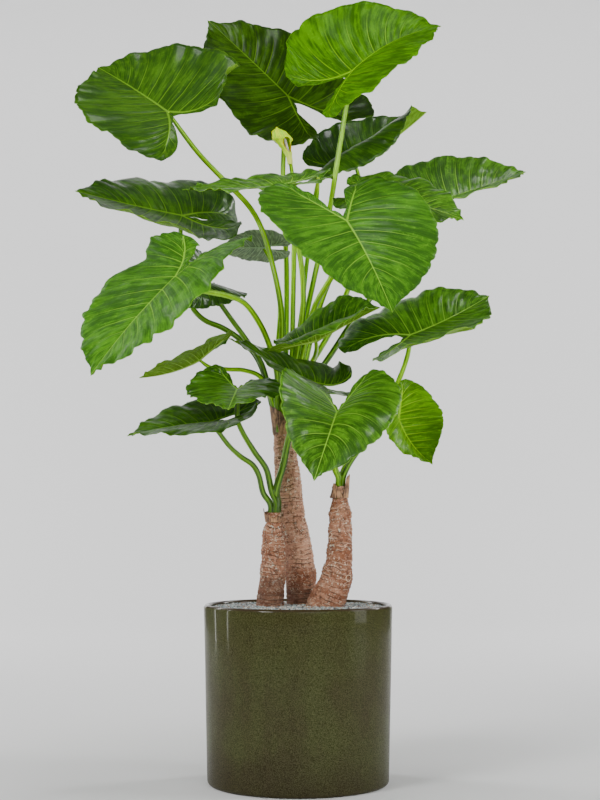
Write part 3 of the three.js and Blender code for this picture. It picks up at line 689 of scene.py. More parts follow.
USUAL = {
    "roll": 0, "width": 1, "fold": (10, 10), "side": (-20, -20), "lobes": (10, 10), "bend": 20,
    "lobe_length": (1, 1), "lobe_width": (1, 1), "lobe_fold": (0, 0), "lobe_side": (0, 0),
    "inner": (0, 0), "twist": 0, "wave": 0.018, "phase": 0, "frill": 1, "stalk": (7.5, 5.5),
    "look": "green",
}


def one_leaf(name, trunk, **given):
    return {"name": name, "trunk": trunk, **USUAL, **given}


LEAVES = [
    one_leaf(
        "top_left", "main", foot=(200, 11), joint=(-300, -60, 1530), heading=145, pitch=35,
        length=245, width=1.14, fold=(-25, 55), side=(5, -5), lobes=(45, -60), bend=5, phase=0.4,
        route=[
            (-38, 22, 1065), (-60, 28, 1190), (-85, 42, 1275), (-115, 52, 1330), (-175, 30, 1390),
            (-230, -22, 1440), (-275, -55, 1495),
        ],
    ),
    one_leaf(
        "top_middle", "main", foot=(95, 11), joint=(-25, 110, 1610), heading=180, pitch=45,
        roll=-70, length=260, width=0.97, fold=(20, -15), side=(0, 0), lobes=(-45, -45), bend=5,
        phase=1.4, look="deep",
        route=[
            (-28, 88, 1040), (-28, 134, 1200), (-32, 148, 1290), (-37, 150, 1410), (-33, 148, 1535),
            (-30, 130, 1590),
        ],
    ),
    one_leaf(
        "top_right", "main", foot=(35, 11), joint=(125, -20, 1635), heading=15, pitch=45,
        length=245, width=1.1, fold=(45, -10), side=(15, -15), lobes=(-45, 15), bend=30, twist=5,
        phase=2.1, look="bright",
        route=[
            (12, 55, 1040), (42, 50, 1180), (72, 35, 1310), (87, 18, 1400), (110, 2, 1545),
            (122, -14, 1610),
        ],
    ),
    one_leaf(
        "upper_right_rolled", "main", foot=(60, 24), joint=(138, 190, 1466), heading=10, pitch=29,
        roll=-20, length=220, width=0.98, fold=(60, 35), side=(15, -140), lobes=(-40, 25), bend=-15,
        twist=-4, phase=0.9, look="waxy",
        route=[(30, 95, 960), (90, 135, 1070), (144, 175, 1240), (152, 205, 1412)],
    ),
    one_leaf(
        "right_outer", "main", foot=(20, 24), joint=(370, 230, 1385), heading=12, pitch=18, roll=32,
        length=205, width=1.12, fold=(18, 25), side=(-10, 0), lobes=(0, 0), bend=-5, phase=0.2,
        frill=1.3, look="fresh",
        route=[(75, 70, 980), (130, 100, 1065), (245, 170, 1215), (335, 225, 1330)],
    ),
    one_leaf(
        "right_wavy", "main", foot=(-10, 24), joint=(208, -60, 1328), heading=-12, pitch=-12,
        roll=25, length=172, width=1.05, fold=(20, 5), bend=12, wave=0.03, phase=0.3, frill=1.3,
        look="fresh",
        route=[(35, 18, 1040), (65, 5, 1130), (115, -25, 1230), (180, -55, 1302)],
    ),
    one_leaf(
        "front_middle", "main", foot=(-40, 24), joint=(105, -268, 1240), heading=-65, pitch=-40,
        roll=20, length=265, width=0.97, fold=(0, 10), side=(-10, 20), lobes=(25, 0), bend=25,
        twist=-10, wave=0.01, frill=0.9, look="fair",
        route=[
            (8, 0, 960), (25, 0, 1040), (38, -12, 1085), (62, -75, 1122), (94, -170, 1165),
            (103, -230, 1202),
        ],
    ),
    one_leaf(
        "left_outer", "main", foot=(150, 24), joint=(-272, 40, 1307), heading=192, pitch=9,
        roll=-52, length=245, width=1.12, fold=(13, -1), side=(34, -29), lobes=(-48, 44),
        lobe_fold=(8, -10), lobe_side=(-18, 31), inner=(0.08, 0.1), bend=-5, twist=11, phase=2.5,
        look="waxy",
        route=[
            (-95, 40, 970), (-130, 32, 1010), (-175, 26, 1040), (-220, 26, 1060), (-248, 30, 1092),
            (-264, 38, 1170), (-276, 46, 1264),
        ],
    ),
    one_leaf(
        "left_edgewise", "main", foot=(-68, 24), joint=(-54, -88, 1352), heading=180, pitch=-5,
        roll=-22, length=200, width=0.58, side=(-10, -10), lobes=(-10, -10), bend=-5, phase=0.6,
        frill=1.5, look="fresh",
        route=[(0, 8, 990), (12, 0, 1100), (0, -40, 1220), (-38, -80, 1310)],
    ),
    one_leaf(
        "left_front", "main", foot=(-125, 24), joint=(-264, -275, 1118), heading=-160, pitch=-45,
        roll=20, length=275, width=1.05, fold=(-25, 40), side=(-10, 0), lobes=(40, -35),
        lobe_length=(1, 0.58), lobe_width=(1, 0.77), lobe_fold=(0, 8), lobe_side=(0, 80),
        inner=(0.06, 0.13), bend=10, twist=-10, wave=0.012, phase=0.3, frill=1.5, look="fair",
        route=[
            (-48, 2, 930), (-68, -35, 1000), (-90, -72, 1045), (-120, -120, 1080),
            (-155, -168, 1090), (-205, -225, 1093), (-240, -255, 1098),
        ],
    ),
    one_leaf(
        "left_behind", "main", foot=(180, 24), joint=(-200, -40, 1137), heading=-95, pitch=-10,
        roll=-40, length=130, width=0.9, fold=(20, 30), side=(0, -10), lobes=(20, 0), bend=65,
        frill=1.3, look="waxy",
        route=[(-85, 12, 955), (-120, 5, 1010), (-170, -22, 1078), (-188, -35, 1105)],
    ),
    one_leaf(
        "left_lower", "main", foot=(-155, 24), joint=(-230, 20, 965), heading=190, pitch=-30,
        roll=5, length=140, fold=(20, 25), side=(-20, -10), lobes=(0, 5), bend=-25, phase=0.8,
        stalk=(6.5, 4.5), look="fresh",
        route=[(-88, 12, 925), (-125, 15, 940), (-165, 20, 943), (-205, 20, 948)],
    ),
    one_leaf(
        "centre_small", "main", foot=(-95, 24), joint=(40, -120, 995), heading=-5, pitch=30,
        length=155, width=1.1, fold=(60, 30), side=(-50, -60), lobes=(-25, -5), bend=5, twist=15,
        phase=1.8, stalk=(6.5, 4.5), look="fresh",
        route=[(2, 8, 905), (25, 0, 945), (36, -14, 965), (41, -62, 979)],
    ),
    one_leaf(
        "behind_centre", "main", foot=(115, 24), joint=(-84, 96, 1240), heading=178, pitch=3,
        roll=38, length=100, width=0.66, side=(10, -20), lobes=(20, -20), bend=15, stalk=(6, 4),
        look="dusky",
        route=[(-50, 66, 960), (-44, 74, 1100), (-58, 90, 1190)],
    ),
    one_leaf(
        "low_left", "left", foot=(-60, 8), joint=(-135, -150, 885), heading=-95, pitch=-20, roll=10,
        length=150, fold=(5, 20), side=(-35, -10), lobes=(10, -35), bend=0, twist=5, phase=0.5,
        frill=1.3, stalk=(8, 5), look="fresh",
        route=[
            (-60, -25, 660), (-73, -40, 712), (-99, -60, 750), (-126, -100, 795), (-135, -128, 820),
            (-135, -138, 850),
        ],
    ),
    one_leaf(
        "low_middle", "left", foot=(45, 8), joint=(38.7, -103, 904), heading=180, pitch=24,
        length=210, width=0.6, fold=(-14, 38), side=(-10, -25), lobes=(-35, -85),
        lobe_length=(0.6, 0.8), lobe_width=(1, 1.1), lobe_fold=(20, 14), bend=-6, twist=12,
        phase=1.2, frill=0.5, stalk=(9, 6.5), look="waxy",
        route=[(-50, -28, 660), (-34, -36, 720), (-18, -54, 790), (22, -88, 866)],
    ),
    one_leaf(
        "lowest_left", "left", foot=(-160, 8), joint=(-194.6, -129, 814.6), heading=185, pitch=-5,
        roll=-20, length=180, fold=(10, 9), side=(-10, -5), lobes=(-50, -5), lobe_width=(0.75, 1),
        bend=10, twist=5, phase=1.7, stalk=(7.5, 5),
        route=[
            (-79, -25, 656), (-90, -35, 698), (-103, -50, 720), (-129, -70, 738), (-153, -90, 760),
            (-180, -112, 795),
        ],
    ),
    one_leaf(
        "low_front", "right", foot=(-100, 8), joint=(83, -292, 826), heading=-100, pitch=-25,
        roll=-20, length=189, width=1.04, fold=(60, 10), side=(-55, 20), lobes=(-15, 20), bend=55,
        twist=-12, wave=0.01, phase=0.5, stalk=(8, 5), look="fresh",
        route=[(84, -42, 710), (80, -110, 765), (74, -195, 797), (72.5, -268, 806)],
    ),
    one_leaf(
        "right_middle", "right", foot=(60, 8), joint=(255, -60, 1015), heading=25, pitch=20,
        roll=35, length=215, width=1.1, fold=(15, 15), side=(-50, 30), lobes=(40, 10), bend=-15,
        twist=5, phase=0.7, frill=1.3, stalk=(8, 5), look="fresh",
        route=[(110, -20, 720), (140, -20, 780), (200, -30, 855), (240, -50, 940), (252, -60, 985)],
    ),
    one_leaf(
        "low_right", "right", foot=(-30, 8), joint=(225, -100, 820), heading=0, pitch=-70, roll=40,
        length=125, width=1.15, fold=(25, 35), side=(5, -25), lobes=(-5, -10), bend=-40, twist=20,
        phase=2.2, stalk=(7, 5), look="lime",
        route=[(118, -34, 725), (165, -62, 785), (198, -76, 808)],
    ),
]


def stalk_route(trunk, foot, route, end):
    crown = CROWNS[trunk]
    x, y, z = crown["centre"]
    lean = math.radians(foot[0])
    start = []
    for rise, spread in ((-40, 0.8), (0, 0.95), (crown["reach"], crown["rise"])):
        out = foot[1] * spread
        start.append((x + out * math.cos(lean), y + out * math.sin(lean), z + rise))
    return [*start, *route, end]


def stalk_finish(name, pale, deep, foot):
    finish = Finish(name, roughness=0.3, specular_ior_level=0.35)
    finish.lets_light_in(0.12, 0.004, (0.6, 1.0, 0.2))
    share = finish.map("stem").parts()[1]
    spot = finish.coordinates()
    # Painted highlight and shade: pale and deep streaks along the stalk stand in for its lit and
    # shaded sides.
    painted_lit_and_shaded_sides = finish.map("stem").stretched(7, 1.2, 1).noise(1, 2, 0.5)
    mottle = spot.noise(60, 2).step(0.5, 0.68)
    low = (share + spot.noise(30, 2) * 0.1).step(0.12, 0.34, 1, 0)
    tone = painted_lit_and_shaded_sides.step(0.4, 0.64).blend(deep, pale)
    tone = tone.layered((mottle, 0.25, pale), (low, 0.7, foot))
    relief = finish.map("stem").stretched(24, 1, 1).noise(1, 1)
    return finish.set(base_color=tone, normal=relief.bump(0.0006, 0.35))


stalk_green = stalk_finish(
    "stalk_green", (0.5, 1, 0.002), (0.07, 0.19, 0.002), (0.05, 0.14, 0.002)
)
# Painted shade: a darker copy of the stalk green, for the stalks listed next, which stand in shade
# among the leaves.
stalk_painted_shade = stalk_finish(
    "stalk_green_painted_shade", (0.2, 0.45, 0.015), (0.025, 0.068, 0.003), (0.025, 0.07, 0.003)
)
PAINTED_SHADE_STALKS = [
    "right_outer", "left_behind", "left_outer", "low_left", "low_middle", "lowest_left",
    "low_right",
]


def stem(points, steps, sides, radius_at):
    """A bar with a map that runs round it and then up it."""
    mesh = bmesh.new()
    stem_map = mesh.loops.layers.uv.new("stem")

    def maps_at(vertex, share, turn, place):
        for loop in vertex.link_loops:
            loop[stem_map].uv = (turn / 2 / math.pi, share)

    bar(mesh, points, steps, sides, radius_at, maps_at)
    return mesh


for leaf in LEAVES:
    foot_radius, top_radius = leaf["stalk"]
    seed = sum(leaf["joint"]) * 0.01

    def stalk_radius(share, turn, place):
        radius = foot_radius + (top_radius - foot_radius) * share
        clasp = CLASP_WIDTH * max(0, 1 - share / CLASP_SHARE) ** 0.8
        neck = -NECK_WIDTH * max(0, (share - 0.9) / 0.1) ** 2
        ridge = 0.22 * math.cos(3 * turn + seed) + 0.12 * math.cos(7 * turn + 2 * seed)
        round_place = Vector((seed + math.cos(turn), math.sin(turn), share * 9))
        return radius + clasp + neck + ridge + 0.35 * noise.noise(round_place)

    end = Vector(leaf["joint"])
    end = end - (end - Vector(leaf["route"][-1])).normalized() * STALK_END
    route = stalk_route(leaf["trunk"], leaf["foot"], leaf["route"], end)
    stalk_mesh = stem(route, STALK_STEPS, STALK_SIDES, stalk_radius)
    finish = stalk_painted_shade if leaf["name"] in PAINTED_SHADE_STALKS else stalk_green
    stalk = piece("leaf_stalk_" + leaf["name"], stalk_mesh, [finish])
    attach(stalk, "root")
    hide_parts("stalk_" + leaf["name"])


# The blades: arrow-shaped and leathery, with a midrib, two lobe veins and side veins that stand
# proud below and lie in grooves above, a quilted skin between them, and a waved, scalloped edge.
# Each half is ruled from its main vein out to its outline, then folded, curled and arched.

TIP_END = 1.04
EDGE = [
    (0, -0.09), (0.075, -0.2), (0.12, -0.38), (0.19, -0.56), (0.33, -0.67), (0.49, -0.63),
    (0.62, -0.49), (0.71, -0.28), (0.75, -0.06), (0.745, 0.16), (0.69, 0.36), (0.6, 0.54),
    (0.47, 0.7), (0.32, 0.83), (0.17, 0.92), (0.055, 0.985), (0, TIP_END),
]
LOBE_VEIN_END = (0.26, -0.48)
LOBE_TOP = 4
SHOULDER = 9
TIP = 16
HALF_WIDTH = 0.75
LOBE_LENGTH = 0.57
NOTCH = 0.09
INSIDE_END = 4.5
LOBE_ROWS = 44
MIDRIB_ROWS = 98
BLADE_COLUMNS = 20
RIB_THICKNESS = 3.4
THIN_SHARE = 0.3
QUILT = 0.0055
RUFFLE = 0.011
SCALLOP = 0.05
CREASE = 0.005
CREASE_WIDTH = 0.012
RIB_WIDTH = 0.011
FLAT_BESIDE_VEIN = 0.06
FULL_RELIEF_PITCH = 0.1
GRAIN = 0.006
WAVES = 5
VEIN_SWEEP = 0.55
ARCH_STEPS = 12
MAPS_PER_METRE = 10


def edge_at(place):
    """The outline, in shares of the length: across, then along."""
    k = min(int(place), TIP - 1)
    part = place - k
    start, end = EDGE[k], EDGE[k + 1]
    before = EDGE[k - 1] if k else [2 * a - b for a, b in zip(EDGE[0], EDGE[1])]
    after = EDGE[k + 2] if k < TIP - 1 else [2 * a - b for a, b in zip(EDGE[TIP], EDGE[TIP - 1])]
    found = []
    for a, b, c, d in zip(before, start, end, after):
        leave, arrive = 0.5 * (c - a), 0.5 * (d - b)
        cubic = (2 * b - 2 * c + leave + arrive) * part**3
        found.append(b + leave * part + (3 * c - 3 * b - 2 * leave - arrive) * part**2 + cubic)
    return found


def vein_at(place):
    """The main vein that this part of the blade spreads from: the lobe's own, then the midrib."""
    if place >= SHOULDER:
        return 0, TIP_END * (place - SHOULDER) / (TIP - SHOULDER)
    out = place / LOBE_TOP if place < LOBE_TOP else (SHOULDER - place) / (SHOULDER - LOBE_TOP)
    return LOBE_VEIN_END[0] * out, LOBE_VEIN_END[1] * out


def arch(leaf, lobe, share):
    """Where a share of the length along the midrib ends up once the blade arches."""
    back = -share - NOTCH
    if back > 0:
        angle = math.radians(lobe) * back / LOBE_LENGTH
        if abs(angle) < 1e-6:
            return -NOTCH - back, 0, 0
        drop = back * (1 - math.cos(angle)) / angle
        return -NOTCH - back * math.sin(angle) / angle, -drop, -angle
    if share < 0:
        return share, 0, 0
    y = z = 0
    for k in range(ARCH_STEPS):
        at = share * (k + 0.5) / ARCH_STEPS
        angle = math.radians(leaf["bend"] * at)
        y += math.cos(angle) * share / ARCH_STEPS
        z -= math.sin(angle) * share / ARCH_STEPS
    return y, z, math.radians(leaf["bend"] * share)


def leaf_frame(leaf):
    heading, pitch, roll = (math.radians(leaf[k]) for k in ("heading", "pitch", "roll"))
    along = Vector((math.cos(heading), math.sin(heading), math.tan(pitch))).normalized()
    level = Vector((math.sin(heading), -math.cos(heading), 0))
    upright = level.cross(along)
    up = upright * math.cos(roll) + level * math.sin(roll)
    across = level * math.cos(roll) - upright * math.sin(roll)
    return along, up, across


def side_vein(place, spread):
    """Counts the side veins: a whole number on each, which sweeps tipwards as it nears the edge."""
    return place - VEIN_SWEEP * spread**2 * (1 if place > LOBE_TOP else -0.6)


def flat_point(leaf, half, place, spread):
    """A point of the pressed-flat half, in shares of its length, across then along."""
    edge, vein = edge_at(place), vein_at(place)
    count = side_vein(place, 1)
    uneven = (0.6 + 0.4 * math.sin(5.3 * count + leaf["phase"])) * leaf["frill"]
    dent = 0.8 * (1 - abs(math.sin(math.pi * count))) ** 1.6 * uneven
    dent += 0.25 * (1 - abs(math.sin(2 * math.pi * count))) ** 2
    drawn = spread * (1 - SCALLOP * dent * spread**3 * (1 if 1.5 < place < 15.5 else 0))
    fuller = leaf["inner"][half] * math.sin(math.pi * min(place, INSIDE_END) / INSIDE_END)
    a = vein[0] + (max(edge[0] - fuller, edge[0] / 4) - vein[0]) * drawn
    b = vein[1] + (edge[1] - vein[1]) * drawn
    if b < -NOTCH:
        b = (b + NOTCH) * leaf["lobe_length"][half] - NOTCH
    slim = 1 - smooth_share(b, -0.2, 0.25)
    return abs(a) * leaf["width"] * (1 + (leaf["lobe_width"][half] - 1) * slim), b


def blade_point(leaf, frame_axes, side, place, spread, lift):
    half = 1 if side > 0 else 0
    a, b = flat_point(leaf, half, place, spread)
    out = smooth_share(-b, 0, LOBE_LENGTH)
    fold = math.radians(leaf["fold"][half] + leaf["lobe_fold"][half] * out)
    roll = math.radians(leaf["side"][half] + leaf["lobe_side"][half] * out) * a / HALF_WIDTH
    steep = fold + roll
    x, z = a * math.cos(fold), a * math.sin(fold)
    if abs(roll) > 1e-6:
        x = a * (math.sin(steep) - math.sin(fold)) / roll
        z = a * (math.cos(fold) - math.cos(steep)) / roll
    ease = min(1, max(0, (place - 1) / 3)) * min(1, max(0, (15.8 - place) / 1.5))
    swing = math.pi * WAVES * (place - LOBE_TOP) / 6 + leaf["phase"] + side
    ripple = leaf["wave"] * spread**2 * ease * math.sin(swing)
    tilt = steep if a > 1e-6 else 0
    x -= ripple * math.sin(steep) + lift * math.sin(tilt)
    z += ripple * math.cos(steep) + lift * math.cos(tilt)
    twist = math.radians(leaf["twist"]) * b
    level = side * x * math.cos(twist) + z * math.sin(twist)
    above = -side * x * math.sin(twist) + z * math.cos(twist)
    y, drop, angle = arch(leaf, leaf["lobes"][half], b)
    along, up, across = frame_axes
    forward, rise = y + above * math.sin(angle), drop + above * math.cos(angle)
    place = across * level + along * forward + up * rise
    return (Vector(leaf["joint"]) + place * leaf["length"]) * MM


def main_vein_gap(a, b, spread):
    """How far a point of the flat blade is from its nearest main vein, in shares of the length."""
    vein_x, vein_y = LOBE_VEIN_END
    along = min(max((a * vein_x + b * vein_y) / (vein_x**2 + vein_y**2), 0), 1)
    lobe = math.hypot(a - along * vein_x, b - along * vein_y)
    midrib = abs(a) if b > 0 else math.hypot(a, b)
    return min(lobe, midrib) if spread > 0 else 0


def blade_surface(leaf):
    mesh = bmesh.new()
    veins = mesh.loops.layers.uv.new("veins")
    pressed = mesh.loops.layers.uv.new("pressed")
    edges = mesh.loops.layers.uv.new("edges")
    ribs = mesh.verts.layers.deform.new()
    frame_axes = leaf_frame(leaf)
    unit = leaf["length"] * MM * MAPS_PER_METRE
    rows = 2 * LOBE_ROWS + MIDRIB_ROWS
    seed = Vector(leaf["joint"]) * 0.1
    for side in (-1, 1):
        half = 1 if side > 0 else 0
        grid = bmesh.ops.create_grid(mesh, x_segments=BLADE_COLUMNS, y_segments=rows, size=0.5)
        for vertex in grid["verts"]:
            row = round((vertex.co.y + 0.5) * rows)
            column = round((vertex.co.x + 0.5) * BLADE_COLUMNS)
            if row <= LOBE_ROWS:
                place = LOBE_TOP * row / LOBE_ROWS
            elif row <= 2 * LOBE_ROWS:
                place = LOBE_TOP + (SHOULDER - LOBE_TOP) * (row - LOBE_ROWS) / LOBE_ROWS
            else:
                place = SHOULDER + (TIP - SHOULDER) * (row - 2 * LOBE_ROWS) / MIDRIB_ROWS
            spread = (column / BLADE_COLUMNS) ** 1.2
            a, b = flat_point(leaf, half, place, spread)
            gap = main_vein_gap(a / leaf["width"], b, spread)
            count = side_vein(place, spread)
            before, after = max(place - 0.5, 0), min(place + 0.5, TIP)
            pitch = math.dist(
                flat_point(leaf, half, before, spread), flat_point(leaf, half, after, spread)
            )
            open_share = min(1, pitch / FULL_RELIEF_PITCH)
            clear = min(1, gap / FLAT_BESIDE_VEIN) * open_share
            close = abs(math.sin(2 * math.pi * count))
            wide = abs(math.sin(math.pi * count))
            puff = (0.65 * close**0.8 + 0.5 * wide**0.8) * clear * (1 - 0.5 * spread**4)
            fringe = 1.1 * math.cos(2 * math.pi * count + 1.2) + 0.4 * math.cos(4 * math.pi * count)
            fringe *= spread**3 * open_share
            fringe *= 0.6 + 0.4 * math.sin(1.9 * count + leaf["phase"] + side)
            grain = noise.noise(Vector((a * 9, b * 9, side * 5)) + seed)
            grain = grain * GRAIN * min(1, gap / 0.08)
            taper = max(0.28, 1 - 0.8 * math.hypot(a, b))
            crease = -CREASE * math.exp(-((gap / (CREASE_WIDTH * taper)) ** 2)) * taper
            lift = QUILT * puff + RUFFLE * leaf["frill"] * fringe + crease + grain
            rib = math.exp(-((gap / RIB_WIDTH) ** 2)) * max(0.25, 1 - 0.85 * math.hypot(a, b))
            for loop in vertex.link_loops:
                loop[veins].uv = (count, gap * unit / taper)
                loop[pressed].uv = (side * a * unit, b * unit)
                loop[edges].uv = (spread, pitch * unit)
            vertex.co = blade_point(leaf, frame_axes, side, place, spread, lift)
            vertex[ribs][0] = rib
        if side < 0:
            bmesh.ops.reverse_faces(mesh, faces=mesh.faces)
    bmesh.ops.remove_doubles(mesh, verts=mesh.verts, dist=2e-6)
    return mesh


def blade_finish(name, deep, fresh, vein, gloss=0.4, mottling=1.0, wax=0.2, below=False):
    finish = Finish(name, specular_ior_level=0.02 + 0.3 * wax, coat_weight=0 if below else wax)
    finish.socket("coat_roughness").default_value = 0.15
    finish.lets_light_in(0.1, 0.003, (0.5, 1.0, 0.15))
    count, gap, _ = finish.map("veins").parts()
    spread, pitch, _ = finish.map("edges").parts()
    pressed = finish.map("pressed")
    spot = finish.coordinates()
    height = spot.parts()[2]
    beside = abs((count + 0.5).maths("FRACT") - 0.5) * pitch
    between = abs((count * 2 + 0.5).maths("FRACT") - 0.5) * pitch
    strong = (1 - beside / ((1 - spread) * 0.017 + 0.005)).step(0, 0.75)
    calm = count.step(11.5, 15.5, 1, 0.15)
    strong = strong * spread.step(0.4, 0.95, 1, 0.12) * calm
    weak = (1 - between / ((1 - spread) * 0.012 + 0.008)).step(0, 0.9)
    weak = weak * spread.step(0.2, 0.75, 1, 0) * calm
    # Painted shade: towards the edge the blade darkens in the grooves beside the side veins.
    painted_groove_shade = (1 - beside / ((1 - spread) * 0.04 + 0.03)).step(0, 1) * spread.step(0.6, 1, 1, 0)
    main_line = gap.step(0.012, 0.036, 1, 0)
    fine_count = (count * 7 + pressed.noise(2.5, 1) * 0.8).maths("FRACT")
    fine = abs(fine_count - 0.5).step(0, 0.2, 1, 0) * spread.step(0.6, 0.98, 1, 0)
    net = pressed.stretched(1, 1, 0).cells(24, "DISTANCE_TO_EDGE").step(0.0, 0.08, 1, 0)
    strip = {0: count * 3.4, 1: spread * 3.6, 2: height * 3}
    strip = pressed.node("ShaderNodeCombineXYZ", None, strip)
    clouds = strip.noise(1.0, 3, 0.6)
    streaks = strip.stretched(3.2, 0.4, 1).noise(1.0, 2, 0.6)
    broad = spot.noise(8, 2)
    patch = (clouds * 0.46 + streaks * 0.3 + broad * 0.24).step(0.42, 0.62)
    flecks = pressed.noise(15, 2, 0.5).step(0.52, 0.7) * clouds.step(0.45, 0.65)
    fleck_tone = [0.5 * (f + v) for f, v in zip(fresh, vein)]
    # The last of the edge is paler: partly the blade's pale margin, partly a painted highlight
    # along it.
    pale_margin_and_glint = spread.step(0.985, 1.0)
    tone = (patch * (0.66 * mottling) + 0.1).blend(deep, fresh)
    tone = tone.layered((flecks, 0.4 * mottling, fleck_tone), (painted_groove_shade, 0.4, deep))
    tone = (fine * 0.14 + net * 0.1).blend(tone, fresh)
    tone = tone.layered(
        (weak, 0.26, vein), (strong, 0.58, vein), (main_line, 0.9, vein), (pale_margin_and_glint, 0.4, vein)
    )
    shine = pressed.noise(7, 2).step(0.3, 0.7, gloss - 0.05, gloss + 0.1)
    relief = strong * 0.7 + weak * 0.35 + main_line * 0.8 + fine * 0.16 + net * 0.1
    relief = relief + pressed.noise(30, 2, 0.5) * 0.14 + clouds * 0.5
    bumps = relief.bump(0.0016, 0.7) if below else relief.bump(0.0011, -0.7)
    return finish.set(base_color=tone, roughness=shine, normal=bumps)


# Each look: the deep, the fresh and the vein's colour, then gloss, mottling and wax, and whether
# it is an underside.
LOOKS = {
    "green": ((0.015, 0.054, 0.005), (0.08, 0.215, 0.008), (0.18, 0.4, 0.014)),
    "fresh": ((0.017, 0.06, 0.007), (0.17, 0.48, 0.018), (0.36, 0.72, 0.05), 0.36, 0.9, 0.28),
    "fair": ((0.023, 0.08, 0.009), (0.11, 0.36, 0.014), (0.28, 0.6, 0.035), 0.42, 1, 0.07),
    "bright": ((0.022, 0.08, 0.0003), (0.125, 0.4, 0.0004), (0.24, 0.55, 0.003), 0.42, 0.9, 0.03),
    "lime": ((0.04, 0.12, 0.0008), (0.17, 0.46, 0.001), (0.32, 0.6, 0.01), 0.4, 0.9, 0.1),
    "deep": ((0.007, 0.022, 0.001), (0.055, 0.15, 0.003), (0.12, 0.27, 0.008), 0.4, 1, 0.12),
    "waxy": ((0.013, 0.048, 0.006), (0.085, 0.225, 0.01), (0.2, 0.42, 0.02), 0.33, 1, 0.42),
    # Painted reflection: the grey green of the dusky look and of its underside stands in for a sky
    # sheen on the leaf behind the centre.
    "dusky": ((0.1, 0.125, 0.08), (0.38, 0.52, 0.27), (0.42, 0.56, 0.32), 0.5, 1, 0.05),
    "underside": ((0.09, 0.19, 0.012), (0.22, 0.45, 0.03), (0.4, 0.66, 0.09), 0.5, 1, 0, True),
    "shaded_side": ((0.035, 0.085, 0.012), (0.14, 0.3, 0.02), (0.3, 0.5, 0.05), 0.45, 1, 0, True),
    "dusky_underside": (
        (0.12, 0.145, 0.11), (0.42, 0.56, 0.33), (0.48, 0.62, 0.4), 0.5, 1, 0, True
    ),
}
OWN_UNDERSIDES = {"behind_centre": "dusky_underside", "left_edgewise": "shaded_side"}

finishes = {look: blade_finish("blade_" + look, *values) for look, values in LOOKS.items()}


def thicken(shell, thickness, offset=0):
    """Gives an open surface a thickness: to both sides, or all behind it with an offset of -1."""
    skin = shell.modifiers.new("thickness", "SOLIDIFY")
    skin.thickness = thickness * MM
    skin.offset = offset
    return skin


for leaf in LEAVES:
    looks = leaf["look"], OWN_UNDERSIDES.get(leaf["name"], "underside")
    materials = [finishes[look] for look in looks]
    blade = piece("leaf_blade_" + leaf["name"], blade_surface(leaf), materials)
    blade.vertex_groups.new(name="ribs")
    skin = thicken(blade, RIB_THICKNESS, -1)
    skin.vertex_group = "ribs"
    skin.thickness_vertex_group = THIN_SHARE
    skin.material_offset = 1
    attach(blade, "root")
    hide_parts("blade_" + leaf["name"])


# The dry sheaths: what is left of old stalk bases, a thin fibrous brown paper that stands round
# the top of each trunk, split and frayed along its upper edge.

# Points are tongues and splits of the upper edge: the way each faces, its rise and its half width.
SHEATHS = {
    "main": {
        "at": (-32, 45), "bottom": 792, "top": 880, "radius": (26.8, 36), "middle": 822,
        "slope": (-1.1, -0.4), "fray": 5, "points": [],
    },
    "left": {
        "at": (-55.3, -20), "bottom": 590, "top": 632, "radius": (19.5, 24), "middle": 609,
        "slope": (-0.1, 0.3), "fray": 4, "points": [(180, 12, 12), (0, 9, 14), (-95, -4, 25)],
    },
    "right": {
        "at": (94, -20), "bottom": 645, "top": 720, "radius": (21, 24), "middle": 668,
        "slope": (0.9, -0.3), "fray": 5,
        "points": [(-126, 18, 24), (-72, -32, 26), (-15, 10, 34)],
    },
}
SHEATH_TURNS = 120
SHEATH_RISES = 26
SHEATH_THICKNESS = 1.2
SHEATH_LEAST = 3
SHEATH_CLEAR = 0.4
SHEATH_TUCK = 0.8
CRUMPLE = 1.6

dry = Finish("papery_sheath", roughness=0.75)
spot = dry.coordinates()
strand = spot.stretched(1, 1, 0.07).noise(420, 3, 0.6)
blotch = spot.noise(45, 3, 0.6)
tone = (strand * 0.55 + blotch * 0.45).step(0.4, 0.62)
tone = tone.blend((0.075, 0.034, 0.02), (0.52, 0.28, 0.14))
dry.set(base_color=tone, normal=strand.bump(0.0016, 0.8))

for name, sheath in SHEATHS.items():
    sheath_mesh = bmesh.new()
    bmesh.ops.create_grid(sheath_mesh, x_segments=SHEATH_TURNS, y_segments=SHEATH_RISES, size=0.5)
    x, y = sheath["at"]
    low, high = sheath["radius"]
    for vertex in sheath_mesh.verts:
        turn = (vertex.co.x + 0.5) * 2 * math.pi
        share = vertex.co.y + 0.5
        across, back = math.cos(turn), math.sin(turn)
        middle_radius = (low + high) / 2
        lean = sheath["slope"][0] * across + sheath["slope"][1] * back
        top = sheath["middle"] + lean * middle_radius
        for angle, rise, spread in sheath["points"]:
            around = (math.degrees(turn) - angle + 180) % 360 - 180
            top += rise * max(0, 1 - abs(around) / spread)
        ragged = Vector((across * 2.4, back * 2.4, low))
        top += noise.noise(ragged) * sheath["fray"]
        top += noise.noise(ragged * 3.3) * sheath["fray"] * 0.6
        top = min(max(top, sheath["bottom"] + SHEATH_LEAST), sheath["top"])
        z = sheath["bottom"] + (top - sheath["bottom"]) * share
        part = (z - sheath["bottom"]) / (sheath["top"] - sheath["bottom"])
        crumple = noise.noise(Vector((across * 3, back * 3, z * 0.05))) * CRUMPLE * share
        tuck = SHEATH_TUCK * (1 - share)
        radius = low + (high - low) * part + SHEATH_CLEAR + crumple - tuck
        vertex.co = Vector((x + radius * across, y + radius * back, z)) * MM
    weld(sheath_mesh)
    paper_skin = piece("dry_sheath_" + name, sheath_mesh, [dry.material])
    thicken(paper_skin, SHEATH_THICKNESS)
    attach(paper_skin, "root")
    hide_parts("sheath_" + name)


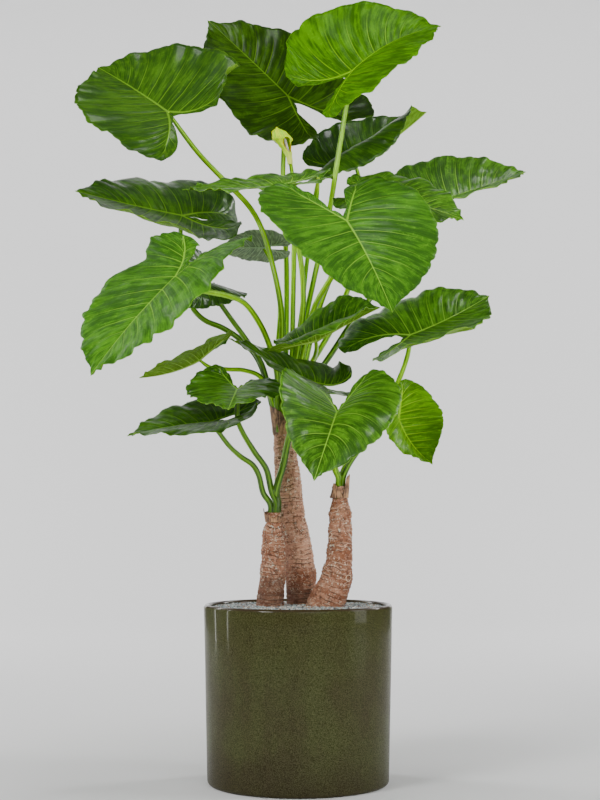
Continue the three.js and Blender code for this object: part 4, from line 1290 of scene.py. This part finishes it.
# The youngest leaf: still rolled into a spear, pale green, one edge lapped over the other, on a
# slim stalk.

SPEAR = {
    "foot": (-30, 2),
    "route": [(4, 36, 1050), (20, 28, 1190), (36, 20, 1309)],
    "end": (50, 20, 1412),
}
SPEAR_STEPS = 90
SPEAR_SIDES = 32
SPEAR_STALK = 5
SPEAR_SWELL = 9
SPEAR_START = 0.72
SPEAR_TIP = 1.2
LAP_TURNS = 1.3
LAP_DEPTH = 0.14


def spear_radius(share, turn, place):
    if share <= SPEAR_START:
        return SPEAR_STALK + 0.3 * math.cos(3 * turn)
    swell = SPEAR_SWELL * math.sin(math.pi * min(1, 0.25 + (share - SPEAR_START) / 0.4))
    lap = (turn / 2 / math.pi + share * LAP_TURNS) % 1
    return max(SPEAR_TIP, swell) * (1 - LAP_DEPTH * lap) + 0.2 * math.cos(16 * turn)


rolled = Finish("rolled_leaf_skin", roughness=0.36, specular_ior_level=0.1)
rolled.lets_light_in(0.12, 0.004)
share = rolled.map("stem").parts()[1]
stripes = rolled.map("stem").stretched(30, 2, 1).noise(1, 2, 0.6).step(0.4, 0.62)
tone = stripes.blend((0.06, 0.19, 0.001), (0.24, 0.62, 0.002))
tip = (share + rolled.coordinates().noise(60, 2) * 0.04).step(0.9, 0.99)
tone = (tip * 0.8).blend(tone, (0.6, 0.9, 0.03))
rolled.set(base_color=tone, normal=stripes.bump(0.0008, 0.5))

spear_line = stalk_route("main", SPEAR["foot"], SPEAR["route"], SPEAR["end"])
spear_mesh = stem(spear_line, SPEAR_STEPS, SPEAR_SIDES, spear_radius)
spear = piece("rolled_young_leaf", spear_mesh, [rolled.material])
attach(spear, "root")
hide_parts("rolled_leaf")


# The flower: a slim stalk, a pale green hood (the spathe) that is rolled into a tube below and
# open in front above, and the pinkish-white club (the spadix) inside it.

FLOWER = {
    "foot": (-30, 12),
    "route": [(-14, 34, 1000), (-12, 28, 1100), (-10, 20, 1200), (-8, 18, 1310), (-12, 4, 1378)],
    "end": (-19, -26, 1427),
}
FLOWER_STEPS = 90
FLOWER_SIDES = 20
FLOWER_FOOT = 6
FLOWER_SWELL = 8
FLOWER_WAIST = 3.6


def flower_stalk_radius(share, turn, place):
    upper = FLOWER_SWELL - FLOWER_WAIST * smooth_share(share, 0.9, 0.95)
    grown = FLOWER_FOOT + (upper - FLOWER_FOOT) * smooth_share(share, 0.68, 0.76)
    return grown + 0.25 * math.cos(5 * turn)


flower_line = stalk_route("main", FLOWER["foot"], FLOWER["route"], FLOWER["end"])
flower_mesh = stem(flower_line, FLOWER_STEPS, FLOWER_SIDES, flower_stalk_radius)
flower_stalk = piece("flower_stem", flower_mesh, [stalk_green])
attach(flower_stalk, "root")
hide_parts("flower_stalk")

CLUB_LINE = [(-19.2, -26, 1427.4), (-25.5, -30, 1450), (-31, -33, 1474)]
CLUB_STEPS = 40
CLUB_SIDES = 20
CLUB_RADIUS = (4.5, 3)
CLUB_TIP = 0.12

club = Finish("club_skin", roughness=0.55)
bead = club.coordinates().cells(620).step(0.1, 0.6)
club_tone = bead.blend((0.72, 0.5, 0.44), (0.86, 0.78, 0.72))
club.set(base_color=club_tone, normal=bead.bump(0.0008, -0.7))
club_mesh = bmesh.new()


def club_radius(share, turn, place):
    low, high = CLUB_RADIUS
    return (low - (low - high) * share) * min(1, ((1 - share) / CLUB_TIP + 0.04) ** 0.5)


bar(club_mesh, CLUB_LINE, CLUB_STEPS, CLUB_SIDES, club_radius)
spadix = piece("flower_club", club_mesh, [club.material])
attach(spadix, "root")
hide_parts("flower_spadix")

HOOD_LINE = [
    (-18.6, -26, 1414), (-20, -26.5, 1426), (-23.5, -28, 1440), (-30, -30, 1456), (-37, -31, 1472),
    (-44, -31, 1487), (-50, -30, 1500),
]
HOOD_WIDTHS = [5.4, 6.2, 9.5, 17, 23, 17.5, 1.2]
HOOD_FOLD = 0.62
HOOD_INSET = 0.84
MOUTH_START = 0.3
MOUTH_END = 0.68
MOUTH_AIM = 30
MOUTH_HALF = 38
HOOD_FLATNESS = 0.86
HOOD_THICKNESS = 1.3
HOOD_TURNS = 84
HOOD_RISES = 60

hood_skin = Finish("hood_skin", roughness=0.4, specular_ior_level=0.1)
hood_skin.lets_light_in(0.2, 0.004)
round_share, rise_share, _ = hood_skin.map("hood").parts()
ribs = hood_skin.map("hood").stretched(34, 1.4, 1).noise(1, 2, 0.6)
pale = rise_share.step(0.1, 0.45, 1, 0)
low_lip = rise_share.step(0.28, 0.34) * rise_share.step(0.5, 0.64, 1, 0)
lip = abs(round_share - 0.5).step(0.465, 0.5) * low_lip
tone = ribs.step(0.35, 0.65).blend((0.36, 0.8, 0.001), (0.85, 1, 0.004))
tone = tone.layered((pale, 0.6, (1, 1, 0.25)), (lip, 0.9, (0.42, 0.12, 0.015)))
hood_skin.set(base_color=tone, normal=ribs.bump(0.0008, 0.4))

hood_mesh = bmesh.new()
hood_map = hood_mesh.loops.layers.uv.new("hood")
hood_steps = along_curve([Vector(place) for place in HOOD_LINE], HOOD_RISES)
bmesh.ops.create_grid(hood_mesh, x_segments=HOOD_TURNS, y_segments=HOOD_RISES, size=0.5)
for vertex in hood_mesh.verts:
    share, rise = vertex.co.x + 0.5, vertex.co.y + 0.5
    middle = hood_steps[round(rise * HOOD_RISES)]
    up_mouth = min(max((rise - MOUTH_START) / (MOUTH_END - MOUTH_START), 0), 1)
    open_half = math.sin(math.pi * up_mouth) ** 0.6 * math.radians(MOUTH_HALF)
    turn = math.radians(MOUTH_AIM - 90) + open_half + share * (2 * math.pi - 2 * open_half)
    place = rise * (len(HOOD_WIDTHS) - 1)
    k = min(int(place), len(HOOD_WIDTHS) - 2)
    width = HOOD_WIDTHS[k] + (HOOD_WIDTHS[k + 1] - HOOD_WIDTHS[k]) * smooth_share(place, k, k + 1)
    inset = HOOD_INSET + (1 - HOOD_INSET) * smooth_share(rise, HOOD_FOLD - 0.02, HOOD_FOLD + 0.02)
    if rise >= MOUTH_START:
        width *= inset + (1 - inset) * (1 - smooth_share(rise, MOUTH_START, 0.45))
    width *= 1 + 0.03 * math.cos(5 * turn + 9 * rise)
    for loop in vertex.link_loops:
        loop[hood_map].uv = (share, rise)
    out = Vector((math.cos(turn) * width, math.sin(turn) * width * HOOD_FLATNESS, 0))
    vertex.co = (middle + out) * MM
weld(hood_mesh)
hood = piece("flower_hood_shell", hood_mesh, [hood_skin.material])
thicken(hood, HOOD_THICKNESS)
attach(hood, "root")
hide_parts("flower_hood")
